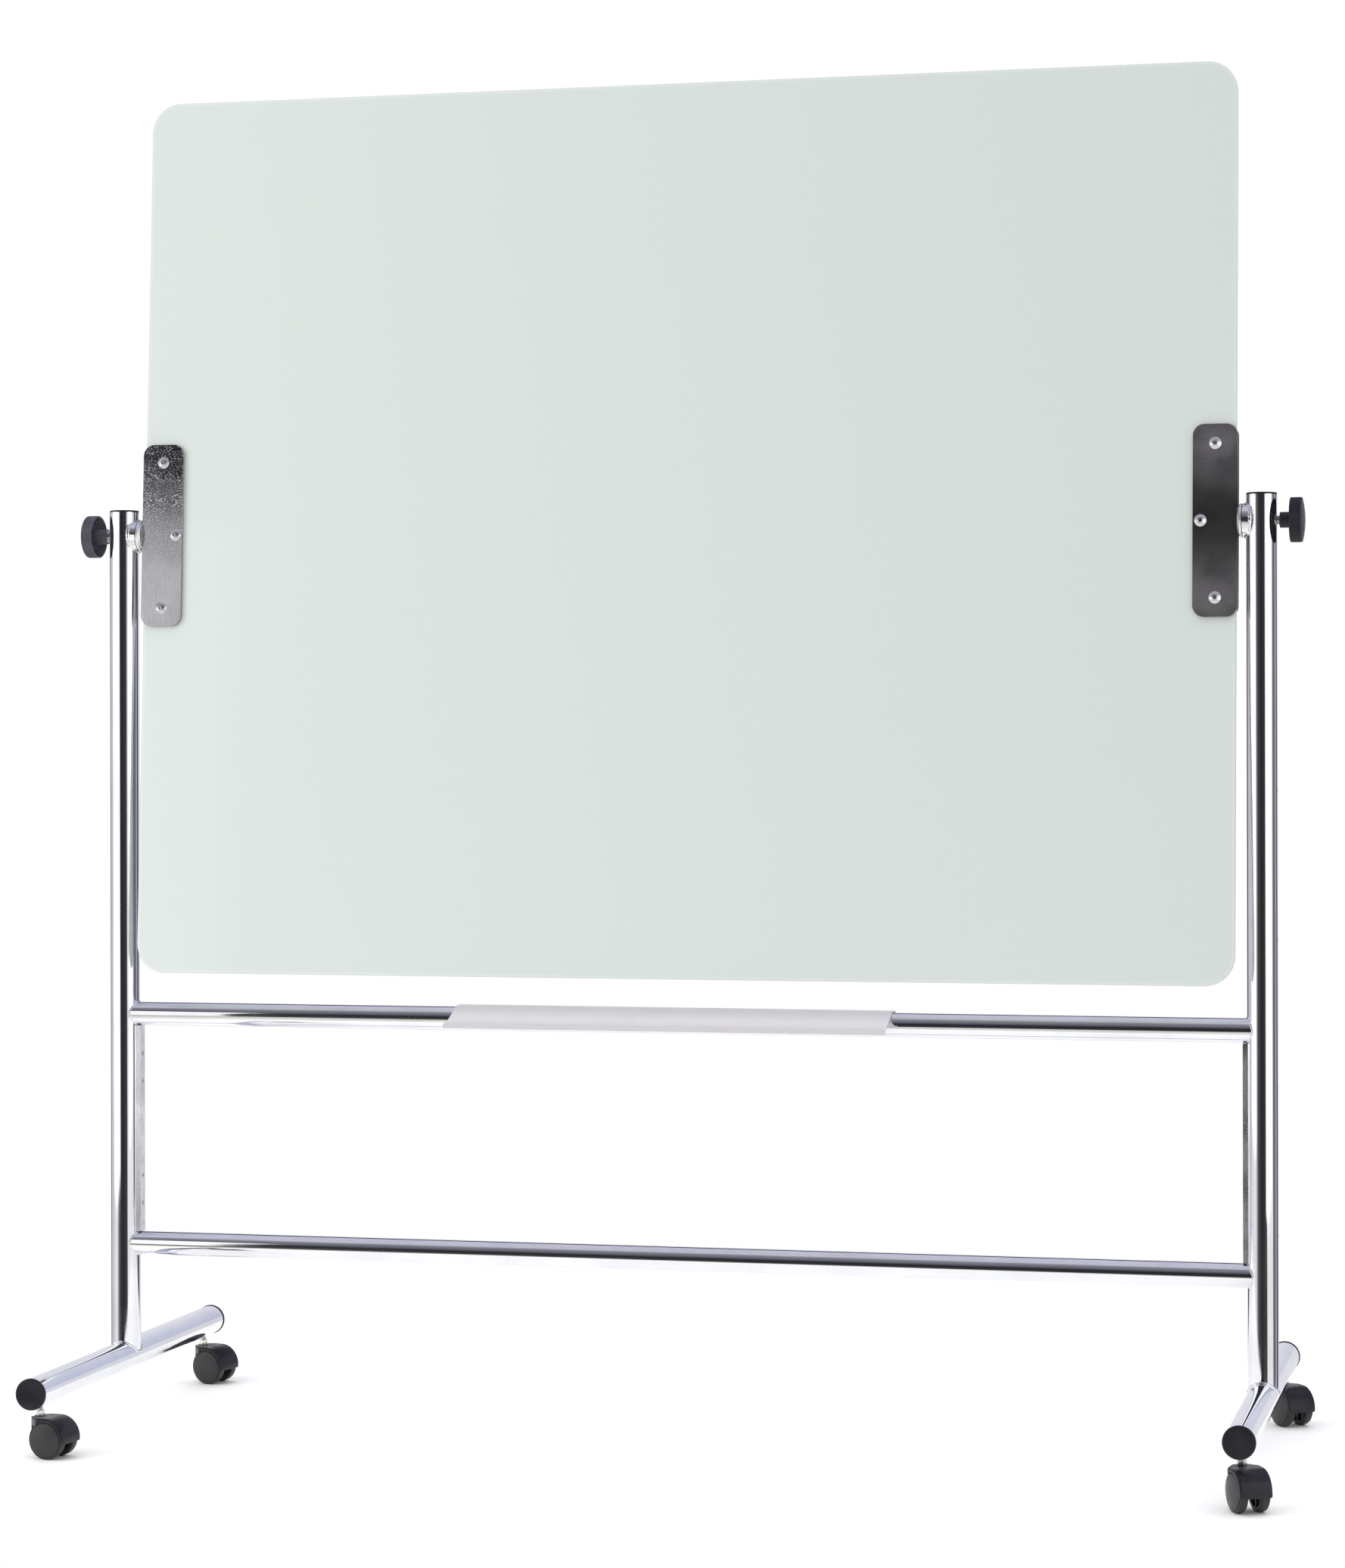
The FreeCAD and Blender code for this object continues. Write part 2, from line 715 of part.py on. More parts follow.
def make_castor_fixings():
    """Threaded stems and the weld nuts that hold them in the foot tubes."""
    stems, nuts = [], []
    for name, side, end, _ in castor_corners():
        base = (at_side(side, "dims.post_offset"), f"{end} * dims.castor_offset", "0")
        stem_corners = [
            ("dims.stem_foot", "0"),
            ("dims.stem_top", "0"),
            ("dims.stem_top", "dims.stem_radius"),
            ("dims.stem_collar_head", "dims.stem_radius"),
            ("dims.stem_collar_head", "dims.stem_collar_radius"),
            ("dims.stem_collar_foot", "dims.stem_collar_radius"),
            ("dims.stem_collar_foot", "dims.stem_radius"),
            ("dims.stem_foot", "dims.stem_radius"),
        ]
        stems.append(turned(f"{name}_stem", stem_corners, base, UPRIGHT, "-90"))
        nut_corners = sleeve("dims.stem_nut_foot", "dims.stem_nut_top", "dims.stem_radius",
                             "dims.stem_nut_radius")
        nuts.append(turned(f"{name}_nut", nut_corners, base, UPRIGHT, "-90"))
    group("castor_stems", stems)
    group("castor_nuts", nuts)


def make_hood(name, side, end, swivel):
    """The castor's moulding: a shell over both wheels, a web between them, a stem boss."""
    body = new_body(f"{name}_hood_body")
    trail, axle = "dims.castor_trail", "dims.wheel_radius"
    drop = f"({axle} - dims.hood_rear_edge)"
    rise = f"(dims.hood_front_lip - {axle})"
    top = f"{axle} + dims.hood_radius"

    def reach(radius, height):
        return f"sqrt({radius} * {radius} - {height} * {height})"

    shell = new_sketch(body, "XZ_Plane")
    outline(shell, [
        (f"{trail} + {reach('dims.hood_radius', drop)}", "dims.hood_rear_edge", "left",
         "dims.hood_radius"),
        (trail, top),
        ("-dims.hood_front", top),
        ("-dims.hood_front", "dims.hood_front_lip"),
        (f"{trail} - {reach('dims.hood_inner_radius', rise)}", "dims.hood_front_lip", "right",
         "dims.hood_inner_radius"),
        (trail, f"{axle} + dims.hood_inner_radius", "right", "dims.hood_inner_radius"),
        (f"{trail} + {reach('dims.hood_inner_radius', drop)}", "dims.hood_rear_edge"),
    ])
    pad(body, shell, "2 * dims.hood_half_width", midplane=True)
    for hand in LEFT_RIGHT.values():
        taper = new_sketch(body, "XY_Plane")
        outline(taper, [
            ("-dims.hood_front", f"{hand} * dims.web_half_width"),
            ("dims.hood_taper_start", f"{hand} * dims.hood_half_width"),
            ("dims.hood_taper_start", f"{hand} * (dims.hood_half_width + 1)"),
            ("-dims.hood_front - 1", f"{hand} * (dims.hood_half_width + 1)"),
            ("-dims.hood_front - 1", f"{hand} * dims.web_half_width"),
        ])
        pocket(body, taper)
    outer = cell("hood_half_width")
    dress(body, "Fillet", lambda edge: is_hood_side(edge, outer), Radius="dims.hood_round")
    web = new_sketch(body, "XZ_Plane")
    outline(web, [
        ("-dims.hood_front", "dims.hood_front_lip + 1"),
        ("-dims.hood_front", "dims.hood_front_lip - 10"),
        (f"{trail} - 10", f"{axle} - 10"),
        (f"{trail} + 4", f"{axle} - 10"),
        (f"{trail} + 10", axle),
        (f"{trail} + 4", f"{axle} + 12"),
        ("dims.hood_front", f"{top} - 2"),
        ("-dims.hood_front", f"{top} - 2"),
    ])
    pad(body, web, "2 * dims.web_half_width", midplane=True)
    bore = new_sketch(body, "XY_Plane", top)
    circles(bore, [("0", "0")], "dims.stem_radius + dims.running_gap")
    pocket(body, bore, f"{top} - dims.stem_foot + 0.5")
    axle_hole = new_sketch(body, "XZ_Plane")
    circles(axle_hole, [(trail, axle)], "dims.axle_radius")
    pocket(body, axle_hole)
    base = (at_side(side, "dims.post_offset"), f"{end} * dims.castor_offset", "0")
    place(body, base, ACROSS, f"{swivel} - 90")
    keep(body, f"{name}_castor_hood")


def is_hood_side(edge, outer):
    """The outer long edges of the hood's two side faces, over the top and down the back."""
    box = edge.BoundBox
    flat = near(abs(box.YMin), outer) and near(abs(box.YMax), outer)
    top = cell("wheel_radius") + cell("hood_radius")
    arc = edge.Curve.TypeId == "Part::GeomCircle" and near(edge.Curve.Radius, cell("hood_radius"))
    roof = near(box.ZMin, top) and near(box.ZMax, top) and box.XLength > 1
    return flat and (arc or roof)


def make_castor_turning(name, side, end, swivel):
    """Axle and the two wheels that spin on it, each with its own bore."""
    x = f"{at_side(side, 'dims.post_offset')} + dims.castor_trail * sin({swivel})"
    y = f"{end} * dims.castor_offset - dims.castor_trail * cos({swivel})"
    base = (x, y, "dims.wheel_radius")
    ends = "dims.axle_half_length"
    axle = turned(f"{name}_axle_body", rod(f"-{ends}", ends, "dims.axle_radius"), base, ACROSS,
                  swivel)
    keep(axle, f"{name}_castor_axle")
    bore = "dims.axle_radius + dims.running_gap"
    tread = "dims.wheel_radius - dims.wheel_tread_round"
    inner, outer = "dims.wheel_inner_face", "dims.wheel_outer_face"
    corners = [
        (inner, bore),
        ("dims.wheel_bore_end", bore),
        ("dims.wheel_bore_end", "0"),
        (f"{outer} + dims.wheel_dome_rise", "0", "left",
         dome_radius("dims.wheel_disc_radius", "dims.wheel_dome_rise")),
        (outer, "dims.wheel_disc_radius"),
        (f"{outer} - 0.6", tread),
        (f"{outer} - 0.6 - dims.wheel_tread_round", "dims.wheel_radius"),
        (f"{inner} + dims.wheel_tread_round", "dims.wheel_radius"),
        (inner, tread),
        (inner, "dims.wheel_dish_radius"),
        (f"{inner} + dims.wheel_dish_depth", "dims.wheel_dish_radius"),
        (f"{inner} + dims.wheel_dish_depth", "dims.wheel_hub_radius"),
        (inner, "dims.wheel_hub_radius"),
    ]
    for number, turn in ((1, "0"), (2, "180")):
        wheel = turned(f"{name}_wheel{number}_body", corners, base, ACROSS, f"{swivel} + {turn}")
        keep(wheel, f"{name}_castor_wheel_{number}")


# ---------------------------------------------------------------- panel

def slab(name, width, height, corner, back_face, thickness, centre="0"):
    """An upright rounded sheet; its back face lies that far in front of the pivot plane."""
    body = new_body(name)
    sketch = new_sketch(body, "XZ_Plane", back_face)
    left, right = f"{centre} - {width} / 2", f"{centre} + {width} / 2"
    low, high = f"-{height} / 2", f"{height} / 2"
    outline(sketch, [(left, low), (right, low), (right, high), (left, high)])
    pad(body, sketch, thickness)

    def is_corner(edge):
        box = edge.BoundBox
        return box.XLength < 0.01 and box.ZLength < 0.01

    dress(body, "Fillet", is_corner, Radius=corner)
    return in_board_frame(body)


def bolt_places(side):
    """Where one side's three bolts pass, across and up from the board's centre."""
    middle = f"{side} * (dims.plate_edge - dims.plate_width / 2)"
    inboard = f"{middle} - {side} * dims.bolt_inboard"
    return [(middle, "dims.bolt_spread"), (inboard, "0"), (middle, "-dims.bolt_spread")]


def drill(body, places, radius):
    sketch = new_sketch(body, "XZ_Plane")
    circles(sketch, places, radius)
    pocket(body, sketch)


def make_panes():
    places = bolt_places(LEFT_RIGHT["left"]) + bolt_places(LEFT_RIGHT["right"])
    half_core = "dims.core_thick / 2"
    layers = [
        ("front_glass", half_core, "dims.glass_thick", "0"),
        ("steel_core", f"-{half_core}", "dims.core_thick", "2 * dims.core_inset"),
        ("rear_glass", f"-{half_core} - dims.glass_thick", "dims.glass_thick", "0"),
    ]
    for label, back_face, thickness, trim in layers:
        width, height = f"(dims.board_width - {trim})", f"(dims.board_height - {trim})"
        body = slab(f"{label}_body", width, height, "dims.board_corner", back_face, thickness)
        if label != "steel_core":
            dress(body, "Chamfer", lambda edge: edge.BoundBox.YLength < 0.01,
                  Size="dims.glass_arris")
        drill(body, places, "dims.board_hole_radius")
        keep(body, label)


def board_half():
    return "(dims.glass_thick + dims.core_thick / 2)"


def make_plates():
    """Clamping plates over both faces at both sides, each on a thin gasket."""
    gaskets = {"front": [], "rear": []}
    outside = f"({board_half()} + dims.gasket_thick)"
    for word, side in LEFT_RIGHT.items():
        centre = f"({side} * (dims.plate_edge - dims.plate_width / 2))"
        faces = {
            "front": (outside, board_half(), "dims.bolt_shank_radius + 0.2"),
            "rear": (f"-{outside} - dims.plate_thick", f"-{outside}",
                     "dims.barrel_radius + 0.1"),
        }
        for face, (plate_back, gasket_back, hole) in faces.items():
            plate = slab(f"{face}_{word}_plate_body", "dims.plate_width", "dims.plate_height",
                         "dims.plate_corner", plate_back, "dims.plate_thick", centre)
            drill(plate, bolt_places(side), hole)
            keep(plate, f"{face}_{word}_plate")
            trim = "2 * dims.gasket_inset"
            gasket = slab(f"{face}_{word}_gasket_body", f"(dims.plate_width - {trim})",
                          f"(dims.plate_height - {trim})", "dims.plate_corner", gasket_back,
                          "dims.gasket_thick", centre)
            drill(gasket, bolt_places(side), "dims.board_hole_radius")
            gaskets[face].append(gasket)
    for face, members in gaskets.items():
        group(f"{face}_gaskets", members)


def make_fasteners():
    """Domed bolts from the front, screwed into domed barrel nuts from the rear."""
    outside = f"({board_half()} + dims.gasket_thick + dims.plate_thick)"
    rise, head = "dims.bolt_head_rise", "dims.bolt_head_radius"
    dome = dome_radius(head, rise)
    bolts, barrels = [], []
    for word, side in LEFT_RIGHT.items():
        for number, (x, z) in enumerate(bolt_places(side)):
            bolt_corners = [
                ("-dims.bolt_reach", "0"),
                (rise, "0", "left", dome),
                ("0", head),
                ("0", "dims.bolt_shank_radius"),
                ("-dims.bolt_reach", "dims.bolt_shank_radius"),
            ]
            bolt = turned(f"{word}_bolt{number}", bolt_corners, (x, f"-{outside}", z), ACROSS,
                          "-90")
            socket(bolt, rise, "dims.bolt_socket_radius", "dims.bolt_socket_depth")
            bolts.append(bolt)
            barrel_corners = [
                ("-dims.barrel_reach", "dims.bolt_shank_radius"),
                ("-0.8", "dims.bolt_shank_radius"),
                ("-0.8", "0"),
                (rise, "0", "left", dome),
                ("0", head),
                ("0", "dims.barrel_radius"),
                ("-dims.barrel_reach", "dims.barrel_radius"),
            ]
            barrel = turned(f"{word}_barrel{number}", barrel_corners, (x, outside, z), ACROSS,
                            "90")
            socket(barrel, rise, "dims.bolt_socket_radius", "dims.bolt_socket_depth")
            barrels.append(barrel)
    group("plate_bolts", bolts)
    group("plate_barrel_nuts", barrels)


# ---------------------------------------------------------------- assembly, checks, files

def make_everything():
    make_sheet()
    for word, side in LEFT_RIGHT.items():
        make_post(word, side)
        make_foot_tube(word, side)
        make_end_strip(word, side)
        make_fixed_collar(word, side)
        make_pivot_parts(word, side)
        make_knob(word, side)
    make_bar("tray_bar", "dims.tray_bar_height", tray_screw_places())
    make_bar("lower_bar", "dims.lower_bar_height")
    make_end_strip_screws()
    make_caps()
    make_pen_tray()
    make_pen_tray_screws()
    make_castor_fixings()
    for name, side, end, swivel in castor_corners():
        make_hood(name, side, end, swivel)
        make_castor_turning(name, side, end, swivel)
    make_panes()
    make_plates()
    make_fasteners()
    for item in nodes:
        if item.Label in ("plate_bolts", "plate_barrel_nuts"):
            in_board_frame(item)
    doc.recompute()


def check_everything():
    """Stops before anything is written if a feature failed or a shape is unsound."""
    for item in doc.Objects:
        if "Invalid" in item.State or "Error" in item.State:
            raise RuntimeError(f"{item.Name} failed: {item.State}")
        if item.TypeId == "PartDesign::Pocket":
            if item.Shape.Volume >= item.BaseFeature.Shape.Volume:
                raise RuntimeError(f"{item.Name} cuts nothing")
    if len(nodes) > MAX_NODES:
        raise RuntimeError(f"{len(nodes)} sub-parts are too many")
    for item in nodes:
        if item.Shape.isNull() or not item.Shape.isValid() or not item.Shape.Solids:
            raise RuntimeError(f"{item.Label} has no sound shape")


def write_everything():
    os.makedirs("parts", exist_ok=True)
    for item in nodes:
        item.Shape.exportStep(f"parts/{item.Label}.step")
    print(f"{len(nodes)} sub-parts written")


make_everything()
check_everything()
write_everything()
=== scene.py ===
import json
import math

import bmesh
import bpy
from mathutils import Matrix, Vector


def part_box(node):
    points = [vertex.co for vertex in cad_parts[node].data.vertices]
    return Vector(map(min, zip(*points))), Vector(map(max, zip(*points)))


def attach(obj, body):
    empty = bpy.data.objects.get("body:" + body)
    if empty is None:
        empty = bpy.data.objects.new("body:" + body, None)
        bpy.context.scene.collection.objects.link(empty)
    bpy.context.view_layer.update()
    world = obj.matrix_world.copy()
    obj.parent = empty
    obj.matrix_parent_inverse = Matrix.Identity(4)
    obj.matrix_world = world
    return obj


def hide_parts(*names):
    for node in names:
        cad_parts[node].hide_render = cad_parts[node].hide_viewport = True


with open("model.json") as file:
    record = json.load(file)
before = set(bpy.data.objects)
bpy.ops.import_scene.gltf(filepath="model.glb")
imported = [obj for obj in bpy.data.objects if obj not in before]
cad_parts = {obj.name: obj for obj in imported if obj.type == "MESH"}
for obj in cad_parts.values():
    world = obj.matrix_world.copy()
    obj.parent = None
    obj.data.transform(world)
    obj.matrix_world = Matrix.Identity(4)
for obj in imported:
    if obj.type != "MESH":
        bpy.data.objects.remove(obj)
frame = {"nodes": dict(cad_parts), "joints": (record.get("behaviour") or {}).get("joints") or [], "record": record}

# A mobile revolving glass writing board. Metres, in the CAD frame: +X to the board's right,
# +Y to its back, +Z up, floor at zero. The CAD nodes carry the structure; the pieces made here
# are the ones whose small shapes matter: ribbed knobs, threads, castor mouldings, weld beads,
# the folded tray and the castor stems.

MM = 0.001
SIDES = {"left": -1, "right": 1}
ENDS = {"front": -1, "back": 1}
CASTORS = [f"{side}_{end}" for side in SIDES for end in ENDS]
AXIS_X = Vector((1, 0, 0))

for name in ("Cube", "Light", "Camera"):
    if name in bpy.data.objects:
        bpy.data.objects.remove(bpy.data.objects[name])

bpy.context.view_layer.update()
nodes = frame["nodes"]
joints = {joint["name"]: joint for joint in frame["joints"]}
mounts = {mount["name"]: mount for mount in frame["record"]["mounts"]}
pivot = Vector(joints["board_turn"]["pos_m"])
board_normal = Vector(mounts["board_face"]["axis"])
board_lean = math.asin(board_normal.z)


def span(node, axis):
    """A CAD node's size along one axis."""
    low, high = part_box(node)
    return high[axis] - low[axis]


def middle(node):
    low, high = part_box(node)
    return (low + high) / 2


# ---------------------------------------------------------------- node materials

class Shade:
    """A Principled material with short calls for the nodes that feed it."""

    def __init__(self, name, color, metallic=0.0, roughness=0.5, **constants):
        self.material = bpy.data.materials.new(name)
        self.material.use_nodes = True
        self.tree = self.material.node_tree
        self.shader = self.tree.nodes["Principled BSDF"]
        self.set("Base Color", (*color, 1))
        self.set("Metallic", metallic)
        self.set("Roughness", roughness)
        for socket, value in constants.items():
            self.set(socket.replace("_", " "), value)
        self.place = self.tree.nodes.new("ShaderNodeTexCoord").outputs["Object"]

    def set(self, socket, value):
        self.shader.inputs[socket].default_value = value

    def node(self, kind, **inputs):
        """Adds a node; an input is a number, a tuple or another node's output."""
        node = self.tree.nodes.new(kind)
        for name, value in inputs.items():
            self.feed(node.inputs[name.replace("_", " ")], value)
        return node

    def feed(self, socket, value):
        if isinstance(value, bpy.types.NodeSocket):
            self.tree.links.new(value, socket)
        else:
            socket.default_value = value

    def math(self, operation, first, second=0.0, clamp=False):
        node = self.tree.nodes.new("ShaderNodeMath")
        node.operation = operation
        node.use_clamp = clamp
        self.feed(node.inputs[0], first)
        self.feed(node.inputs[1], second)
        return node.outputs[0]

    def vector_math(self, operation, first, second=(0, 0, 0)):
        node = self.tree.nodes.new("ShaderNodeVectorMath")
        node.operation = operation
        self.feed(node.inputs[0], first)
        self.feed(node.inputs[1], second)
        return node.outputs["Value" if operation == "LENGTH" else "Vector"]

    def stretched(self, scale=(1, 1, 1), turn=(0, 0, 0), shift=(0, 0, 0)):
        return self.node("ShaderNodeMapping", Vector=self.place, Scale=scale, Rotation=turn,
                         Location=shift).outputs[0]

    def noise(self, scale, detail=3.0, rough=0.5, stretch=(1, 1, 1)):
        where = self.stretched(stretch)
        node = self.node("ShaderNodeTexNoise", Vector=where, Scale=scale, Detail=detail,
                         Roughness=rough)
        return node.outputs["Fac"]

    def ramp(self, value, low, high, start=0.0, end=1.0):
        """Maps start..end of a value to low..high, smoothly and clamped."""
        node = self.tree.nodes.new("ShaderNodeMapRange")
        node.interpolation_type = "SMOOTHSTEP"
        for index, item in enumerate((value, start, end, low, high)):
            self.feed(node.inputs[index], item)
        return node.outputs[0]

    def blend(self, amount, first, second):
        """Mixes two colours."""
        node = self.tree.nodes.new("ShaderNodeMix")
        node.data_type = "RGBA"
        self.feed(node.inputs[0], amount)
        self.feed(node.inputs[6], first if not isinstance(first, tuple) else (*first, 1))
        self.feed(node.inputs[7], second if not isinstance(second, tuple) else (*second, 1))
        return node.outputs[2]

    def color(self, value):
        self.feed(self.shader.inputs["Base Color"], value)

    def roughness(self, value):
        self.feed(self.shader.inputs["Roughness"], value)

    def bump(self, height, strength, distance):
        node = self.node("ShaderNodeBump", Height=height, Strength=strength, Distance=distance)
        self.feed(self.shader.inputs["Normal"], node.outputs[0])

    def wear(self, low=0.52, high=0.6):
        """1 along exposed convex edges, 0 elsewhere."""
        pointed = self.tree.nodes.new("ShaderNodeNewGeometry").outputs["Pointiness"]
        return self.ramp(pointed, 0.0, 1.0, low, high)


def chrome(name, stretch, tint=(0.83, 0.835, 0.86)):
    """Polished plate on drawn tube: faint draw lines, wiped smears and a few dull specks."""
    shade = Shade(name, tint, metallic=1.0, roughness=0.05)
    smears = shade.noise(9, detail=5, rough=0.6)
    lines = shade.noise(420, detail=2, stretch=stretch)
    specks = shade.ramp(shade.noise(650, detail=1), 0.0, 1.0, 0.7, 0.78)
    dull = shade.math("ADD", shade.ramp(smears, 0.035, 0.085, 0.35, 0.7),
                      shade.math("MULTIPLY", specks, 0.12))
    shade.roughness(shade.math("ADD", dull, shade.math("MULTIPLY", lines, 0.02)))
    darker = tuple(part * 0.93 for part in tint)
    shade.color(shade.blend(shade.ramp(smears, 0.0, 1.0, 0.4, 0.65), tint, darker))
    shade.bump(lines, 0.05, 0.00004)
    return shade.material


def plate_chrome(name, tint, grain, dullness):
    """Plate over unpolished sheet: pale frosted specks, thinning out below the pivot as a painted reflection set
    by height.
    """
    shade = Shade(name, tint, metallic=1.0, roughness=dullness)
    pits = shade.ramp(shade.noise(520, detail=2, rough=0.5), 0.0, 1.0, 0.50, 0.66)
    clusters = shade.ramp(shade.noise(26, detail=3), 0.45, 1.0, 0.40, 0.62)
    fine = shade.noise(2600, detail=2)
    lines = shade.noise(90, detail=4, stretch=(14, 1, 0.8))
    # painted reflection: the specks' colour, frost and bump fade out by height below the pivot
    upright = shade.node("ShaderNodeSeparateXYZ", Vector=shade.place).outputs["Z"]
    painted_reflection_fade = shade.ramp(upright, 0.2, 1.0, pivot.z - 70 * MM, pivot.z + 20 * MM)
    specks = shade.math("MULTIPLY", shade.math("MULTIPLY", pits, clusters), painted_reflection_fade)
    height = shade.math("ADD", shade.math("MULTIPLY", specks, 0.25),
                        shade.math("MULTIPLY", fine, 0.12))
    patches = shade.noise(22, detail=4)
    dull = shade.ramp(patches, dullness * 0.8, dullness * 1.25, 0.35, 0.65)
    frosted = shade.math("ADD", dull, shade.math("MULTIPLY", specks, 0.45))
    shade.roughness(shade.math("ADD", frosted, shade.math("MULTIPLY", lines, 0.05)))
    ground = shade.blend(shade.ramp(lines, 0, 1, 0.35, 0.65), tint,
                         tuple(part * 0.88 for part in tint))
    shade.color(shade.blend(specks, ground, (0.86, 0.86, 0.88)))
    shade.bump(height, grain, 0.00012)
    return shade.material


def brushed_plate(name, tint, dullness):
    """Plate over sheet that was brushed across, with soft lines; a painted reflection darkens the colour by
    height, darkest at the pivot.
    """
    shade = Shade(name, tint, metallic=1.0, roughness=dullness)
    brush = shade.noise(60, detail=5, rough=0.7, stretch=(1, 1, 16))
    cloud = shade.noise(18, detail=4)
    shade.roughness(shade.math("ADD", shade.ramp(cloud, dullness - 0.05, dullness + 0.05,
                                                 0.35, 0.65),
                               shade.math("MULTIPLY", brush, 0.08)))
    # painted reflection: the colour is darkened by height, darkest level with the pivot
    upright = shade.node("ShaderNodeSeparateXYZ", Vector=shade.place).outputs["Z"]
    off_pivot = shade.math("ABSOLUTE", shade.math("SUBTRACT", upright, pivot.z))
    painted_dark_middle = shade.blend(shade.ramp(off_pivot, 0, 1, 10 * MM, 110 * MM),
                         tuple(part * 0.25 for part in tint), tint)
    painted_dark_middle_streaked = shade.blend(shade.ramp(off_pivot, 0, 1, 10 * MM, 110 * MM),
                           tuple(part * 0.2 for part in tint), tuple(part * 0.8 for part in tint))
    shade.color(shade.blend(shade.ramp(brush, 0, 1, 0.3, 0.7), painted_dark_middle, painted_dark_middle_streaked))
    shade.bump(brush, 0.1, 0.0001)
    return shade.material


def zinc(name, tint=(0.66, 0.65, 0.63), dullness=0.28):
    """Bright zinc plate: mottled, with small tarnished patches and a fine grain."""
    shade = Shade(name, tint, metallic=1.0, roughness=dullness)
    mottle = shade.noise(300, detail=4, rough=0.65)
    fine = shade.noise(1800, detail=2)
    shade.roughness(shade.ramp(mottle, dullness * 0.7, dullness * 1.5, 0.3, 0.7))
    warm = (tint[0] * 0.86, tint[1] * 0.82, tint[2] * 0.72)
    shade.color(shade.blend(shade.ramp(mottle, 0.0, 0.7, 0.5, 0.75), tint, warm))
    shade.bump(shade.math("ADD", mottle, fine), 0.12, 0.0001)
    return shade.material


def moulded(name, color, dullness, grain=0.25, scale=1400, scuff=0.35):
    """Textured moulding: spark-eroded grain, handled patches, paler worn edges."""
    shade = Shade(name, color, roughness=dullness, IOR=1.38)
    texture = shade.noise(scale, detail=3, rough=0.6)
    patches = shade.noise(45, detail=4, rough=0.6)
    shade.roughness(shade.math("ADD", shade.ramp(patches, dullness - 0.07, dullness + 0.08,
                                                 0.3, 0.7),
                               shade.math("MULTIPLY", texture, 0.06)))
    paler = tuple(min(1, part * 1.5 + 0.004) for part in color)
    body = shade.blend(shade.ramp(patches, 0.0, 0.55, 0.35, 0.7), color, paler)
    worn = tuple(min(1, part * 2.2 + 0.012) for part in color)
    shade.color(shade.blend(shade.math("MULTIPLY", shade.wear(), scuff), body, worn))
    shade.bump(texture, grain, 0.00012)
    return shade.material


def powder_coat(name, color):
    """Powder coat: fine orange peel, faint marker dust in soft random clouds."""
    shade = Shade(name, color, roughness=0.36, Coat_Weight=0.15, Coat_Roughness=0.2)
    peel = shade.noise(900, detail=2, rough=0.45)
    cloud = shade.noise(14, detail=5, rough=0.6)
    shade.roughness(shade.ramp(cloud, 0.31, 0.43, 0.35, 0.65))
    dusty = (color[0] * 0.95, color[1] * 0.945, color[2] * 0.94)
    shade.color(shade.blend(shade.ramp(cloud, 0.0, 1.0, 0.45, 0.75), color, dusty))
    shade.bump(peel, 0.12, 0.00015)
    return shade.material


def plain_grain(name, color, dullness, scale, grain, metallic=0.0):
    """A quiet surface with a grain of its own: rubber, friction fibre, bushes, sheet."""
    shade = Shade(name, color, metallic=metallic, roughness=dullness)
    texture = shade.noise(scale, detail=4, rough=0.65)
    shade.roughness(shade.ramp(texture, dullness - 0.08, dullness + 0.1, 0.3, 0.7))
    shade.color(shade.blend(shade.ramp(texture, 0.0, 1.0, 0.35, 0.7), color,
                            tuple(part * 0.75 for part in color)))
    shade.bump(texture, grain, 0.00015)
    return shade.material


def board_glass(name):
    """Back-painted toughened glass. The paint stops short of the edge, so a clear rim of
    greenish glass shows round it; faint wiped smears lie over the face."""
    paint = (0.655, 0.70, 0.67)
    rim = (0.68, 0.725, 0.70)
    edge = (0.62, 0.69, 0.66)
    shade = Shade(name, paint, roughness=0.08, IOR=1.3, Coat_Weight=0.1, Coat_Roughness=0.03)
    upright = shade.node("ShaderNodeMapping", Vector=shade.place,
                         Location=tuple(-pivot)).outputs[0]
    local = shade.node("ShaderNodeMapping", Vector=upright,
                       Rotation=(board_lean, 0, 0)).outputs[0]
    width = span("front_glass", 0)
    height = board_height
    flat = shade.vector_math("MULTIPLY", local, (1, 0, 1))
    inner = (width / 2 - board_corner, 0, height / 2 - board_corner)
    beyond = shade.vector_math("SUBTRACT", shade.vector_math("ABSOLUTE", flat), inner)
    outside = shade.vector_math("MAXIMUM", beyond, (0, 0, 0))
    reach = shade.vector_math("LENGTH", outside)
    depth = shade.math("SUBTRACT", board_corner, reach)
    in_rim = shade.ramp(depth, 1.0, 0.0, CLEAR_RIM - 0.0004, CLEAR_RIM + 0.0004)
    at_edge = shade.ramp(depth, 1.0, 0.0, 0.0004, 0.0009)
    smears = shade.noise(2.2, detail=6, rough=0.6, stretch=(1, 1, 0.6))
    clouded = shade.blend(shade.ramp(smears, 0.0, 1.0, 0.3, 0.75), paint,
                          (paint[0] * 0.985, paint[1] * 0.99, paint[2] * 0.995))
    bordered = shade.blend(in_rim, clouded, rim)
    shade.color(shade.blend(at_edge, bordered, edge))
    wiped = shade.ramp(smears, 0.06, 0.13, 0.35, 0.7)
    shade.roughness(wiped)
    shade.bump(shade.noise(3.0, detail=2), 0.02, 0.0006)
    return shade.material


CLEAR_RIM = 4 * MM
GLASS_THICK = 4 * MM
board_corner = 40 * MM
glass_low, glass_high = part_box("front_glass")
board_height = (glass_high.z - glass_low.z - GLASS_THICK * math.sin(board_lean)) \
    / math.cos(board_lean)

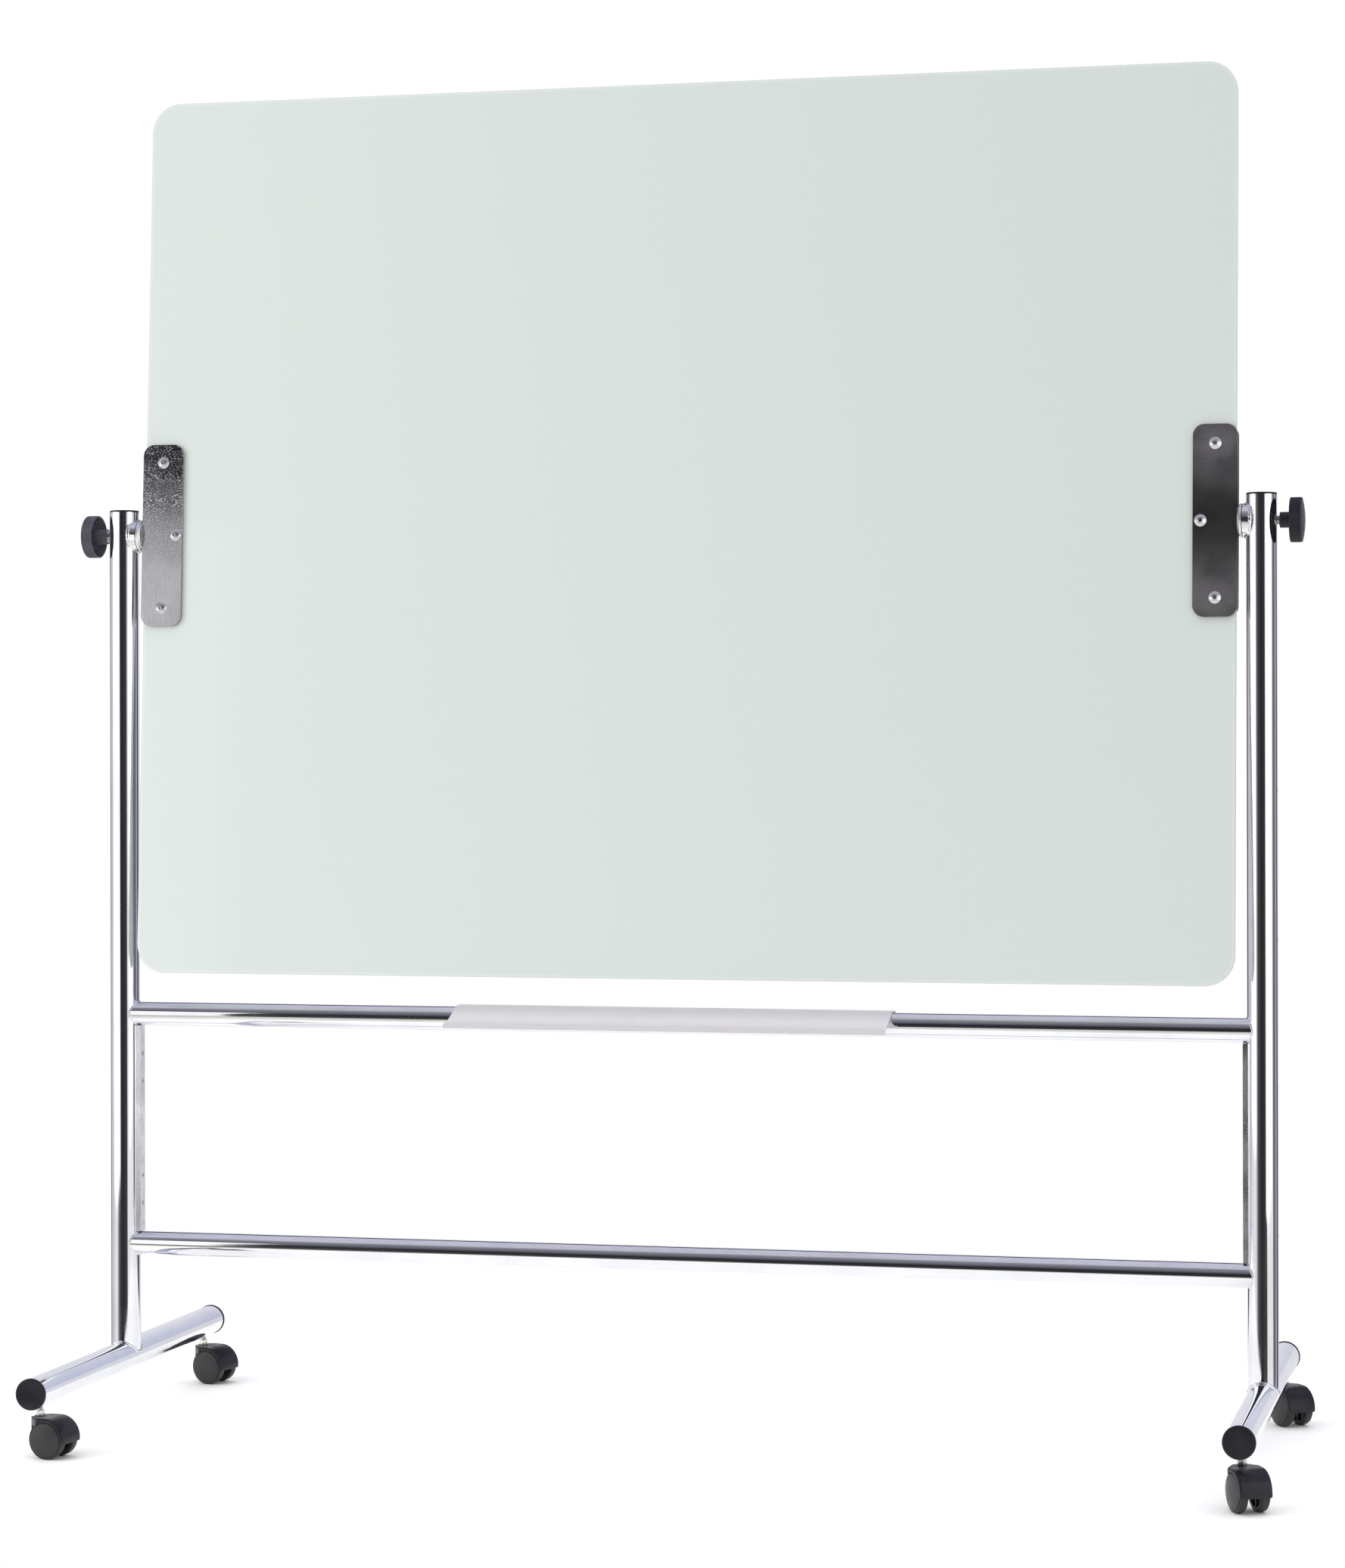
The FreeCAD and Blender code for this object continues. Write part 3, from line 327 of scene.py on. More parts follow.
tube_chrome = chrome("tube_chrome", (1, 1, 0.02))
bar_chrome = chrome("bar_chrome", (0.02, 1, 1))
foot_chrome = chrome("foot_chrome", (1, 0.02, 1))
# weld_chrome and strip_steel use the same painted reflection fade by height as the speckled plate
weld_chrome = plate_chrome("weld_chrome", (0.80, 0.80, 0.83), 0.25, 0.12)
# each plate material carries a painted reflection set by height: a speck fade on the left, a dark middle on the
# right
plate_finish_and_painted_reflection = {"left": plate_chrome("speckled_plate_painted_fade", (0.44, 0.43, 0.45), 0.60, 0.08),
                "right": brushed_plate("brushed_plate_painted_dark_middle", (0.46, 0.44, 0.45), 0.36)}
collar_chrome = zinc("collar_chrome", (0.80, 0.80, 0.80), 0.12)
turned_collar = zinc("turned_collar", (0.88, 0.88, 0.88), 0.42)
strip_steel = plate_chrome("strip_steel", (0.84, 0.84, 0.87), 0.12, 0.22)
screw_zinc = zinc("screw_zinc")
bolt_zinc = zinc("bolt_zinc", (0.62, 0.62, 0.64), 0.28)
stem_zinc = zinc("stem_zinc", (0.74, 0.74, 0.70), 0.3)
black_plastic = moulded("black_plastic", (0.010, 0.009, 0.013), 0.30)
# one knob plastic in two copies: the left is lighter as painted light, the right darker as painted shade
knob_lit_and_shaded_copies = {"left": moulded("left_knob_plastic_painted_lit", (0.062, 0.058, 0.076), 0.36, grain=0.15),
                "right": moulded("right_knob_plastic_painted_shade", (0.012, 0.011, 0.018), 0.40, grain=0.15)}
castor_plastic = moulded("castor_plastic", (0.007, 0.006, 0.011), 0.30, grain=0.3)
wheel_nylon = moulded("wheel_nylon", (0.024, 0.024, 0.025), 0.34, grain=0.3, scuff=0.2)
tray_paint = powder_coat("tray_paint", (0.61, 0.595, 0.615))
glass_paint = board_glass("board_glass_painted")
core_steel = plain_grain("core_steel", (0.55, 0.58, 0.57), 0.5, 300, 0.1, metallic=0.3)
gasket_rubber = plain_grain("gasket_rubber", (0.03, 0.03, 0.032), 0.75, 1200, 0.2)
friction_fibre = plain_grain("friction_fibre", (0.035, 0.032, 0.036), 0.7, 1500, 0.3)
bush_bronze = plain_grain("bush_bronze", (0.42, 0.30, 0.17), 0.4, 900, 0.15, metallic=1.0)


def finish_node(node, material):
    """Gives a carried-over CAD node its material."""
    for item in nodes[node].material_slots:
        item.material = material


def finish_nodes():
    for side in SIDES:
        finish_node(f"{side}_post", tube_chrome)
        finish_node(f"{side}_foot_tube", foot_chrome)
        finish_node(f"{side}_end_strip", strip_steel)
        finish_node(f"{side}_fixed_collar", collar_chrome)
        finish_node(f"{side}_rotating_collar", turned_collar)
        finish_node(f"{side}_pivot_bush", bush_bronze)
        finish_node(f"{side}_friction_washer", friction_fibre)
        finish_node(f"{side}_post_cap", black_plastic)
        finish_node(f"{side}_knob_insert", screw_zinc)
        finish_node(f"front_{side}_plate", plate_finish_and_painted_reflection[side])
        finish_node(f"rear_{side}_plate", plate_finish_and_painted_reflection[side])
        for end in ENDS:
            finish_node(f"{side}_{end}_foot_cap", black_plastic)
            finish_node(f"{side}_{end}_castor_axle", screw_zinc)
    finish_node("tray_bar", bar_chrome)
    finish_node("lower_bar", bar_chrome)
    finish_node("end_strip_screws", screw_zinc)
    finish_node("pen_tray_screws", screw_zinc)
    finish_node("castor_nuts", screw_zinc)
    finish_node("front_glass", glass_paint)
    finish_node("rear_glass", glass_paint)
    finish_node("steel_core", core_steel)
    finish_node("front_gaskets", gasket_rubber)
    finish_node("rear_gaskets", gasket_rubber)
    finish_node("plate_bolts", bolt_zinc)
    finish_node("plate_barrel_nuts", bolt_zinc)


# ---------------------------------------------------------------- mesh helpers

def add_piece(name, bm, material, body, sharp=32):
    """A smooth-shaded piece that rides on a body and takes its finish from a slot."""
    bmesh.ops.recalc_face_normals(bm, faces=bm.faces)
    mesh = bpy.data.meshes.new(name)
    bm.to_mesh(mesh)
    bm.free()
    mesh.shade_smooth()
    mesh.set_sharp_from_angle(angle=math.radians(sharp))
    mesh.materials.append(material)
    piece = bpy.data.objects.new(name, mesh)
    bpy.context.scene.collection.objects.link(piece)
    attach(piece, body)
    return piece


def soften(piece, width, segments=2, angle=35):
    """Rounds a piece's hard edges."""
    bevel = piece.modifiers.new("bevel", "BEVEL")
    bevel.width = width
    bevel.segments = segments
    bevel.limit_method = "ANGLE"
    bevel.angle_limit = math.radians(angle)
    bevel.harden_normals = True
    return piece


def bridge(bm, first, second):
    """Faces between two closed rings of the same count; a ring of one point is a tip."""
    count = max(len(first), len(second))
    for step in range(count):
        after = (step + 1) % count
        if len(first) == 1:
            bm.faces.new((first[0], second[step], second[after]))
        elif len(second) == 1:
            bm.faces.new((first[step], second[0], first[after]))
        else:
            bm.faces.new((first[step], second[step], second[after], first[after]))


def loft(bm, rings, closed=False):
    """Skins a run of rings of points; the ends are capped unless the run is closed."""
    made = [[bm.verts.new(point) for point in ring] for ring in rings]
    for first, second in zip(made, made[1:]):
        bridge(bm, first, second)
    if closed:
        bridge(bm, made[-1], made[0])
    else:
        for ring in (made[0], made[-1]):
            if len(ring) > 2:
                bm.faces.new(ring)
    return made


def turned_ring(along, radius, segments, wave=None):
    """A ring about the local X axis; wave can change the radius with the angle."""
    if radius < 1e-7:
        return [Vector((along, 0, 0))]
    ring = []
    for step in range(segments):
        angle = 2 * math.pi * step / segments
        size = radius if wave is None else wave(along, angle, radius)
        ring.append(Vector((along, size * math.cos(angle), size * math.sin(angle))))
    return ring


def arc(centre, radius, start, end, steps):
    """Points on an arc, angles in degrees."""
    points = []
    for step in range(steps + 1):
        angle = math.radians(start + (end - start) * step / steps)
        points.append((centre[0] + radius * math.cos(angle),
                       centre[1] + radius * math.sin(angle)))
    return points


def dome(tip, rim, rise, steps):
    """A shallow dome as (along, radius), from its tip on the axis down to its rim."""
    size = (rim * rim + rise * rise) / (2 * rise)
    reach = math.degrees(math.asin(rim / size))
    return arc((tip - size, 0), size, 0, reach, steps)


def outward(side, along=0.0):
    """Local X turned to point outward along the pivot axis at one side."""
    turn = Matrix.Rotation(math.pi if SIDES[side] < 0 else 0, 4, "Z")
    return Matrix.Translation(pivot + AXIS_X * SIDES[side] * along) @ turn


# ---------------------------------------------------------------- knobs and threaded shafts

KNOB_RIBS = 84
RIB_DEPTH = 0.55 * MM
THREAD_PITCH = 1.75 * MM
THREAD_DEPTH = 0.95 * MM


def make_knob(side):
    """A ribbed cup knob: domed face, deep recess at the back, hub with a chamfered nose."""
    low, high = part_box(f"{side}_knob")
    start = min(abs(low.x), abs(high.x))
    tip = max(abs(low.x), abs(high.x)) - start
    radius = (high.z - low.z) / 2
    hub = 10.25 * MM
    bore = 8.05 * MM
    hub_length = 13.5 * MM
    rise = 3.8 * MM
    rim_end = tip - rise
    wall = 2.4 * MM
    floor = rim_end - 5 * MM
    edge = 0.9 * MM
    valley = (hub_length + 1.6 * MM, rim_end - 1.4 * MM)

    def ribbed(along, angle, size):
        if not valley[0] - 1e-6 <= along <= valley[1] + 1e-6 or size < radius - 1e-6:
            return size
        return size - RIB_DEPTH * (0.5 - 0.5 * math.cos(KNOB_RIBS * angle))

    profile = [(24.4 * MM, 0), (24.4 * MM, bore), (0.4 * MM, bore), (0, bore + 0.4 * MM),
               (0, hub - 0.9 * MM), (0.9 * MM, hub), (hub_length - 1.2 * MM, hub),
               (hub_length - 0.9 * MM, hub + 0.5 * MM), (hub_length + 0.2 * MM, hub + 0.5 * MM),
               (hub_length + 0.5 * MM, hub + 0.1 * MM), (floor - 1.2 * MM, hub + 0.6 * MM),
               (floor, hub + 1.8 * MM), (floor, radius - wall - 2.6 * MM),
               (floor - 1.4 * MM, radius - wall - 1.1 * MM),
               (hub_length + 0.7 * MM, radius - wall), (hub_length, radius - wall + 0.6 * MM),
               (hub_length, radius - 0.9 * MM), (hub_length + 0.5 * MM, radius - 0.15 * MM),
               (hub_length + 1.1 * MM, radius), (valley[0], radius),
               (valley[0] + 0.01 * MM, radius),
               ((valley[0] + valley[1]) / 2, radius), (valley[1] - 0.01 * MM, radius),
               (valley[1], radius), (rim_end - edge, radius)]
    profile += arc((rim_end - edge, radius - edge), edge, 75, 30, 3)
    profile += list(reversed(dome(tip, radius - 0.55 * MM, rise - 0.35 * MM, 12)))
    rings = [turned_ring(along, size, KNOB_RIBS * 4, ribbed) for along, size in profile]
    bm = bmesh.new()
    loft(bm, rings)
    bm.transform(outward(side, start))
    piece = add_piece(f"{side}_knob_ribbed", bm, knob_lit_and_shaded_copies[side], f"{side}_knob",
                      sharp=40)
    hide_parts(f"{side}_knob")


def make_shaft(side):
    """The pivot shaft with its thread cut along the stretch that the knob runs on."""
    low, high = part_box(f"{side}_pivot_shaft")
    start, end = sorted((abs(low.x), abs(high.x)))
    radius = (high.z - low.z) / 2
    post_face = max(abs(value.x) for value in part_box(f"{side}_post"))
    thread_start = post_face - 4 * MM
    step = THREAD_PITCH / 8
    segments = 40

    def threaded(along, angle, size):
        turn = (along / THREAD_PITCH - SIDES[side] * angle / (2 * math.pi)) % 1
        height = abs(2 * turn - 1)
        fade = min(1, max(0, (along - thread_start) / (2 * THREAD_PITCH)))
        return size - THREAD_DEPTH * fade * min(1, max(0, 1.25 * (1 - height) - 0.1))

    rings = [turned_ring(start, 0, segments), turned_ring(start, radius, segments)]
    along = thread_start
    while along < end - 1.2 * MM:
        rings.append(turned_ring(along, radius, segments, threaded))
        along += step
    rings.append(turned_ring(end - 1.1 * MM, radius - THREAD_DEPTH, segments))
    rings.append(turned_ring(end, radius - 1.6 * MM, segments))
    rings.append(turned_ring(end, 0, segments))
    bm = bmesh.new()
    loft(bm, rings)
    bm.transform(outward(side))
    piece = add_piece(f"{side}_threaded_shaft", bm, bolt_zinc, "panel", sharp=40)
    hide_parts(f"{side}_pivot_shaft")


# ---------------------------------------------------------------- castors

WHEEL_RADIUS = 25 * MM
HOOD_TOP = 28 * MM
HOOD_WELL = 25.8 * MM
HOOD_SIDE = 21.3 * MM
HOOD_SIDE_INNER = 20.5 * MM
HOOD_LIP = 23.7 * MM
HOOD_ROUND = 2.6 * MM
HOOD_NOSE = -8.5 * MM
HOOD_NOSE_FOOT = 18.5 * MM
HOOD_TAPER = 7 * MM
NECK = 8.5 * MM
REAR_ANGLE = -8.2
STEPS_OVER_TOP = 40
STEPS_TO_NOSE = 18


def castor_place(name):
    """The castor's frame: origin under the stem, X the way the wheels trail, Y the axle."""
    swivel = Vector(joints[f"{name}_swivel"]["pos_m"])
    axle = Vector(joints[f"{name}_roll_1"]["pos_m"])
    trail = Vector((axle.x - swivel.x, axle.y - swivel.y, 0))
    turn = Matrix.Rotation(math.atan2(trail.y, trail.x), 4, "Z")
    return Matrix.Translation((swivel.x, swivel.y, 0)) @ turn, trail.length


def hood_section(top, well, half, lip, round_off):
    """One slice of the hood as (height over the axle, across), right round."""
    inner = half - (HOOD_SIDE - HOOD_SIDE_INNER)
    right = [(top, 0)]
    right += [(height, across) for across, height in
              arc((half - round_off, top - round_off), round_off, 90, 0, 6)]
    right += [(lip + 0.5 * MM, half), (lip + 0.1 * MM, half - 0.25 * MM),
              (lip, inner + 0.15 * MM), (lip, inner), (well, inner), (well, 0)]
    left = [(height, -across) for height, across in reversed(right[1:-1])]
    return right + left


def hood_rings(trail):
    """Slices from the rear edge, up over the wheels and forward along the flat to the nose."""
    rings = []
    for step in range(STEPS_OVER_TOP + 1):
        degrees = REAR_ANGLE + (90 - REAR_ANGLE) * step / STEPS_OVER_TOP
        angle = math.radians(degrees)
        trim = 0.5 * MM if step == 0 else 0
        section = hood_section(HOOD_TOP - trim, HOOD_WELL + trim, HOOD_SIDE - trim / 2,
                               HOOD_LIP + trim, HOOD_ROUND)
        rings.append([Vector((trail + height * math.cos(angle), across,
                              WHEEL_RADIUS + height * math.sin(angle)))
                      for height, across in section])
    for step in range(1, STEPS_TO_NOSE + 1):
        x = trail + (HOOD_NOSE - trail) * step / STEPS_TO_NOSE
        ahead = trail - x
        under = math.sqrt(max(HOOD_WELL ** 2 - ahead ** 2, HOOD_NOSE_FOOT ** 2))
        lip = math.sqrt(max(HOOD_LIP ** 2 - ahead ** 2, 0)) if ahead < HOOD_LIP else 0
        narrow = min(1, max(0, (HOOD_TAPER - x) / (HOOD_TAPER - HOOD_NOSE)))
        half = HOOD_SIDE + (NECK - HOOD_SIDE) * narrow
        lip = max(lip, HOOD_NOSE_FOOT - 1.5 * MM)
        lip = min(lip, under - 0.05 * MM)
        trim = 0.4 * MM if step == STEPS_TO_NOSE else 0
        round_off = HOOD_ROUND * (1 - 0.55 * narrow)
        section = hood_section(HOOD_TOP - trim, under + trim, half - trim, lip, round_off)
        rings.append([Vector((x, across, WHEEL_RADIUS + height)) for height, across in section])
    return rings


def make_hood(name):
    place, trail = castor_place(name)
    bm = bmesh.new()
    loft(bm, hood_rings(trail))
    bm.transform(place)
    shell = add_piece(f"{name}_castor_shell", bm, castor_plastic, f"{name}_castor",
                      sharp=38)
    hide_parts(f"{name}_castor_hood")
    make_web(name, place, trail)


def make_web(name, place, trail):
    """The wall between the wheels: stem boss in front, axle boss behind, a rib between."""
    half = NECK - 0.1 * MM
    axle = WHEEL_RADIUS
    outline = [(HOOD_NOSE, axle + HOOD_TOP - 1.2 * MM), (HOOD_NOSE, axle + 9.5 * MM),
               (HOOD_NOSE + 2 * MM, axle + 6 * MM)]
    outline += arc((trail, axle), 10 * MM, 215, 350, 8)
    outline += [(trail + 9.5 * MM, axle + 3 * MM), (trail + 6 * MM, axle + 11 * MM),
                (trail + 7 * MM, axle + 26 * MM), (trail - 4 * MM, axle + HOOD_TOP - 1.2 * MM)]
    bm = bmesh.new()
    loft(bm, [[Vector((x, across, z)) for x, z in outline] for across in (-half, half)])
    bm.transform(place)
    web = add_piece(f"{name}_castor_web", bm, castor_plastic, f"{name}_castor")
    soften(web, 0.7 * MM)
    ring = [(-0.6 * MM, 4.4 * MM), (0.35 * MM, 4.4 * MM), (0.45 * MM, 4.8 * MM),
            (0.45 * MM, 6.6 * MM), (0.2 * MM, 7.2 * MM), (-0.6 * MM, 7.4 * MM)]
    bm = bmesh.new()
    loft(bm, [turned_ring(along, size, 48) for along, size in ring], closed=True)
    upright = Matrix.Translation((0, 0, axle + HOOD_TOP)) @ Matrix.Rotation(-math.pi / 2, 4, "Y")
    bm.transform(place @ upright)
    add_piece(f"{name}_stem_seat", bm, castor_plastic, f"{name}_castor")


def make_wheel(name, number):
    """A nylon wheel: crowned tread, a step down to the domed disc, a spoked dish inside."""
    joint = joints[f"{name}_roll_{number}"]
    node = f"{name}_castor_wheel_{number}"
    centre = Vector(joint["pos_m"])
    axis = Vector(joint["axis"])
    if (middle(node) - centre).dot(axis) < 0:
        axis = -axis
    inner, outer, tip = 8.9 * MM, 20.2 * MM, 23 * MM
    disc = 22.4 * MM
    profile = [(19 * MM, 0), (19 * MM, 2.55 * MM), (inner, 2.55 * MM), (inner, 5.7 * MM),
               (inner + 0.3 * MM, 6 * MM), (inner + 4 * MM, 6.4 * MM),
               (inner + 4 * MM, 19 * MM), (inner + 0.4 * MM, 19.5 * MM),
               (inner, 19.9 * MM), (inner, 23.6 * MM)]
    profile += arc((inner + 1.5 * MM, WHEEL_RADIUS - 1.55 * MM), 1.5 * MM, 170, 100, 4)
    profile += [(inner + 4 * MM, WHEEL_RADIUS), (outer - 4 * MM, WHEEL_RADIUS)]
    profile += arc((outer - 2.1 * MM, WHEEL_RADIUS - 1.55 * MM), 1.5 * MM, 80, 10, 4)
    profile += [(outer - 0.65 * MM, disc + 0.5 * MM), (outer - 1.1 * MM, disc + 0.25 * MM),
                (outer - 1.1 * MM, disc), (outer - 0.3 * MM, disc - 0.02 * MM),
                (outer + 0.05 * MM, disc - 0.2 * MM)]
    profile += list(reversed(dome(tip, disc - 0.5 * MM, tip - outer - 0.35 * MM, 12)))
    bm = bmesh.new()
    loft(bm, [turned_ring(along, size, 96) for along, size in profile])
    spoke_half = 0.7 * MM
    for spoke in range(6):
        turn = Matrix.Rotation(spoke * math.pi / 3, 4, "X")
        block = [[Vector((along, across, reach)) for along, across in
                  ((inner + 1 * MM, -spoke_half), (inner + 1 * MM, spoke_half),
                   (inner + 4.5 * MM, spoke_half), (inner + 4.5 * MM, -spoke_half))]
                 for reach in (5.6 * MM, 19.3 * MM)]
        loft(bm, [[turn @ point for point in ring] for ring in block])
    turn = axis.to_track_quat("X", "Z").to_matrix().to_4x4()
    bm.transform(Matrix.Translation(centre) @ turn)
    piece = add_piece(f"{name}_wheel_{number}_moulded", bm, wheel_nylon,
                      f"{name}_wheel_{number}", sharp=40)
    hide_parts(node)


def make_stems():
    """Castor stems: plain pin, hexagon with chamfered corners, threaded end in the tube."""
    low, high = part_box("castor_stems")
    foot, top = low.z, high.z
    hex_foot, hex_head = 53.6 * MM, 60.2 * MM
    across_flats = 11 * MM
    pin = 4 * MM
    segments = 48

    def hexed(along, angle, size):
        local = (angle + math.pi / 6) % (math.pi / 3) - math.pi / 6
        return min(size, across_flats / 2 / math.cos(local))

    def threaded(along, angle, size):
        turn = (along / (1.25 * MM) - angle / (2 * math.pi)) % 1
        return size - 0.6 * MM * (1 - abs(2 * turn - 1))

    corner = across_flats / math.sqrt(3)
    rings = [turned_ring(foot, 0, segments), turned_ring(foot, pin - 0.6 * MM, segments),
             turned_ring(foot + 0.6 * MM, pin, segments), turned_ring(hex_foot, pin, segments)]
    for along, size in ((hex_foot, corner - 0.8 * MM), (hex_foot + 0.7 * MM, corner),
                        (hex_head - 0.7 * MM, corner), (hex_head, corner - 0.8 * MM)):
        rings.append(turned_ring(along, size, segments, hexed))
    steps = 40
    for step in range(steps + 1):
        along = hex_head + (top - hex_head) * step / steps
        rings.append(turned_ring(along, pin, segments, threaded))
    rings.append(turned_ring(top, 0, segments))
    bm = bmesh.new()
    for name in CASTORS:
        place, _ = castor_place(name)
        upright = place @ Matrix.Rotation(-math.pi / 2, 4, "Y")
        loft(bm, [[upright @ point for point in ring] for ring in rings])
    piece = add_piece("castor_stem_set", bm, stem_zinc, "stand", sharp=35)
    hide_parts("castor_stems")


# ---------------------------------------------------------------- weld beads

def bead(bm, path, size, closed, phase):
    """A rippled weld bead along a path of points."""
    count = len(path)
    rings = []
    for index, point in enumerate(path):
        before = path[index - 1] if closed or index else point
        after = path[(index + 1) % count] if closed or index < count - 1 else point
        tangent = (after - before).normalized()
        side = tangent.orthogonal().normalized() if not rings else \
            (last_side - tangent * last_side.dot(tangent)).normalized()
        last_side = side
        up = tangent.cross(side)
        ripple = 1 + 0.13 * math.sin(index * 1.9 + phase) + 0.07 * math.sin(index * 0.53 + phase)
        taper = 1 if closed else min(1, 0.25 + 0.3 * min(index, count - 1 - index))
        radius = size * ripple * taper
        ring = [point + (side * math.cos(angle) + up * math.sin(angle)) * radius
                for angle in (math.pi * step / 5 for step in range(10))]
        rings.append(ring)
    loft(bm, rings, closed=closed)


def post_inset(y, radius):
    """How far the post's flank lies inside its outermost line, that far off centre."""
    return radius - math.sqrt(max(radius * radius - y * y, 0))


def make_bar_welds():
    """Beads where both crossbars meet both posts."""
    bm = bmesh.new()
    post_radius = span("left_post", 0) / 2
    for bar_number, bar in enumerate(("tray_bar", "lower_bar")):
        centre = middle(bar)
        radius = span(bar, 2) / 2
        for side, sign in SIDES.items():
            flank = middle(f"{side}_post").x - sign * post_radius
            path = []
            for step in range(72):
                angle = 2 * math.pi * step / 72
                y = (radius + 0.2 * MM) * math.cos(angle)
                x = flank + sign * (post_inset(y, post_radius) - 0.2 * MM)
                path.append(Vector((x, y, centre.z + (radius + 0.2 * MM) * math.sin(angle))))
            bead(bm, path, 1.15 * MM, True, bar_number * 2.1 + sign)
    add_piece("crossbar_welds", bm, weld_chrome, "stand", sharp=60)


def make_foot_welds():
    """Beads where the posts stand on the foot tubes."""
    bm = bmesh.new()
    radius = span("left_post", 0) / 2
    foot_height = middle("left_foot_tube").z
    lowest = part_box("left_post")[0].z
    for side, sign in SIDES.items():
        centre = middle(f"{side}_post").x
        path = []
        for step in range(96):
            angle = 2 * math.pi * step / 96
            x = (radius + 0.3 * MM) * math.cos(angle)
            y = (radius + 0.3 * MM) * math.sin(angle)
            rise = math.sqrt(max(radius * radius - x * x, 0)) + 0.6 * MM
            z = max(foot_height + rise, lowest + 0.2 * MM)
            path.append(Vector((centre + x, y, z)))
        bead(bm, path, 1.6 * MM, True, sign)
    add_piece("foot_welds", bm, weld_chrome, "stand", sharp=60)


def make_collar_welds():
    """Heavy beads round the fixed collars, and light ones where plates meet collars."""
    bm = bmesh.new()
    post_radius = span("left_post", 0) / 2
    for side, sign in SIDES.items():
        collar_radius = span(f"{side}_fixed_collar", 2) / 2
        low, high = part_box(f"{side}_fixed_collar")
        back = max(abs(low.x), abs(high.x))
        flank = abs(middle(f"{side}_post").x) - post_radius
        path = []
        for step in range(72):
            angle = 2 * math.pi * step / 72
            size = collar_radius - 1.2 * MM + 0.9 * MM * math.sin(3 * angle + sign)
            y = size * math.cos(angle)
            x = min(flank + post_inset(min(abs(y), post_radius), post_radius), back + 1 * MM)
            path.append(Vector((sign * (x - 0.6 * MM), y, pivot.z + size * math.sin(angle))))
        bead(bm, path, 2.4 * MM, True, 1.3 * sign)
    add_piece("collar_welds", bm, weld_chrome, "stand", sharp=60)
    bm = bmesh.new()
    for side, sign in SIDES.items():
        edge = max(abs(value.x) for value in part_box(f"front_{side}_plate"))
        for face in ("front", "rear"):
            y = middle(f"{face}_{side}_plate").y
            path = []
            for step in range(25):
                z = (step / 24 - 0.5) * 26 * MM
                path.append(Vector((sign * (edge + 0.2 * MM), y - z * math.tan(-board_lean),
                                    pivot.z + z)))
            bead(bm, path, 1.2 * MM, False, y * 300)
    add_piece("plate_welds", bm, weld_chrome, "panel", sharp=60)


# ---------------------------------------------------------------- pen tray

TRAY_SHEET = 1.5 * MM
TRAY_SLOPE = math.radians(23.6)
TRAY_BEND = -2.9 * MM
TRAY_FRONT = -62 * MM
TRAY_FLANGE = 23 * MM
TRAY_LIP = 9.6 * MM
BEND_RADIUS = 4 * MM
FOLD_RADIUS = 1.6 * MM
LIP_ROUND = 5 * MM


def fold(corner, before, after, radius, steps):
    """Rounds one corner of a bent sheet's line."""
    towards_before = (before - corner).normalized()
    towards_after = (after - corner).normalized()
    half = towards_before.angle(towards_after) / 2
    middle_way = (towards_before + towards_after).normalized()
    centre = corner + middle_way * radius / math.sin(half)
    start = corner + towards_before * radius / math.tan(half) - centre
    end = corner + towards_after * radius / math.tan(half) - centre
    sweep = start.angle_signed(end)
    points = []
    for step in range(steps + 1):
        angle = -sweep * step / steps
        points.append(centre + Vector((start.x * math.cos(angle) - start.y * math.sin(angle),
                                       start.x * math.sin(angle) + start.y * math.cos(angle))))
    return points


def tray_line(lip):
    """The sheet's middle line as (y, z) pairs: back flange, flat, shelf and lip."""
    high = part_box("pen_tray")[1]
    half = TRAY_SHEET / 2
    back, top = high.y - half, high.z - half
    front = TRAY_FRONT + half * math.cos(TRAY_SLOPE)
    fall = (TRAY_BEND - front) * math.tan(TRAY_SLOPE)
    low_bend = Vector((front, top - fall))
    lip_end = low_bend + Vector((-math.sin(TRAY_SLOPE), math.cos(TRAY_SLOPE))) * lip
    flange_foot = Vector((back, high.z - TRAY_SHEET - TRAY_FLANGE))
    corners = [flange_foot, Vector((back, top)), Vector((TRAY_BEND, top)), low_bend, lip_end]
    line = [corners[0]]
    for before, corner, after, radius in zip(corners, corners[1:], corners[2:],
                                             (FOLD_RADIUS, BEND_RADIUS, FOLD_RADIUS)):
        line += fold(corner, before, after, radius, 6)
    line.append(corners[-1])
    return line


def sheet_ring(x, line):
    """The bent sheet's outline at one station along the tray."""
    over, under = [], []
    for index, point in enumerate(line):
        before = line[max(index - 1, 0)]
        after = line[min(index + 1, len(line) - 1)]
        along = (after - before).normalized()
        across = Vector((-along.y, along.x)) * TRAY_SHEET / 2
        over.append(point + across)
        under.append(point - across)
    return [Vector((x, point.x, point.y)) for point in over + list(reversed(under))]


def make_tray():
    """The folded tray, with the lip's end corners rounded off."""
    low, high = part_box("pen_tray")
    full_lip = TRAY_LIP - TRAY_SHEET / 2
    inset = [LIP_ROUND * (1 - math.cos(math.radians(angle))) for angle in range(0, 91, 15)]
    stations = [low.x + step for step in inset] + [high.x - step for step in reversed(inset)]
    rings = []
    for x in stations:
        near_end = min(x - low.x, high.x - x)
        short = LIP_ROUND - math.sqrt(max(LIP_ROUND ** 2 - (LIP_ROUND - near_end) ** 2, 0)) \
            if near_end < LIP_ROUND else 0
        rings.append(sheet_ring(x, tray_line(full_lip - short)))
    bm = bmesh.new()
    loft(bm, rings)
    tray = add_piece("folded_pen_tray", bm, tray_paint, "stand", sharp=30)
    soften(tray, 0.25 * MM, segments=2, angle=50)
    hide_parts("pen_tray")


# ---------------------------------------------------------------- floor, lights and camera

FLOOR_REACH = (1.35, 0.78)


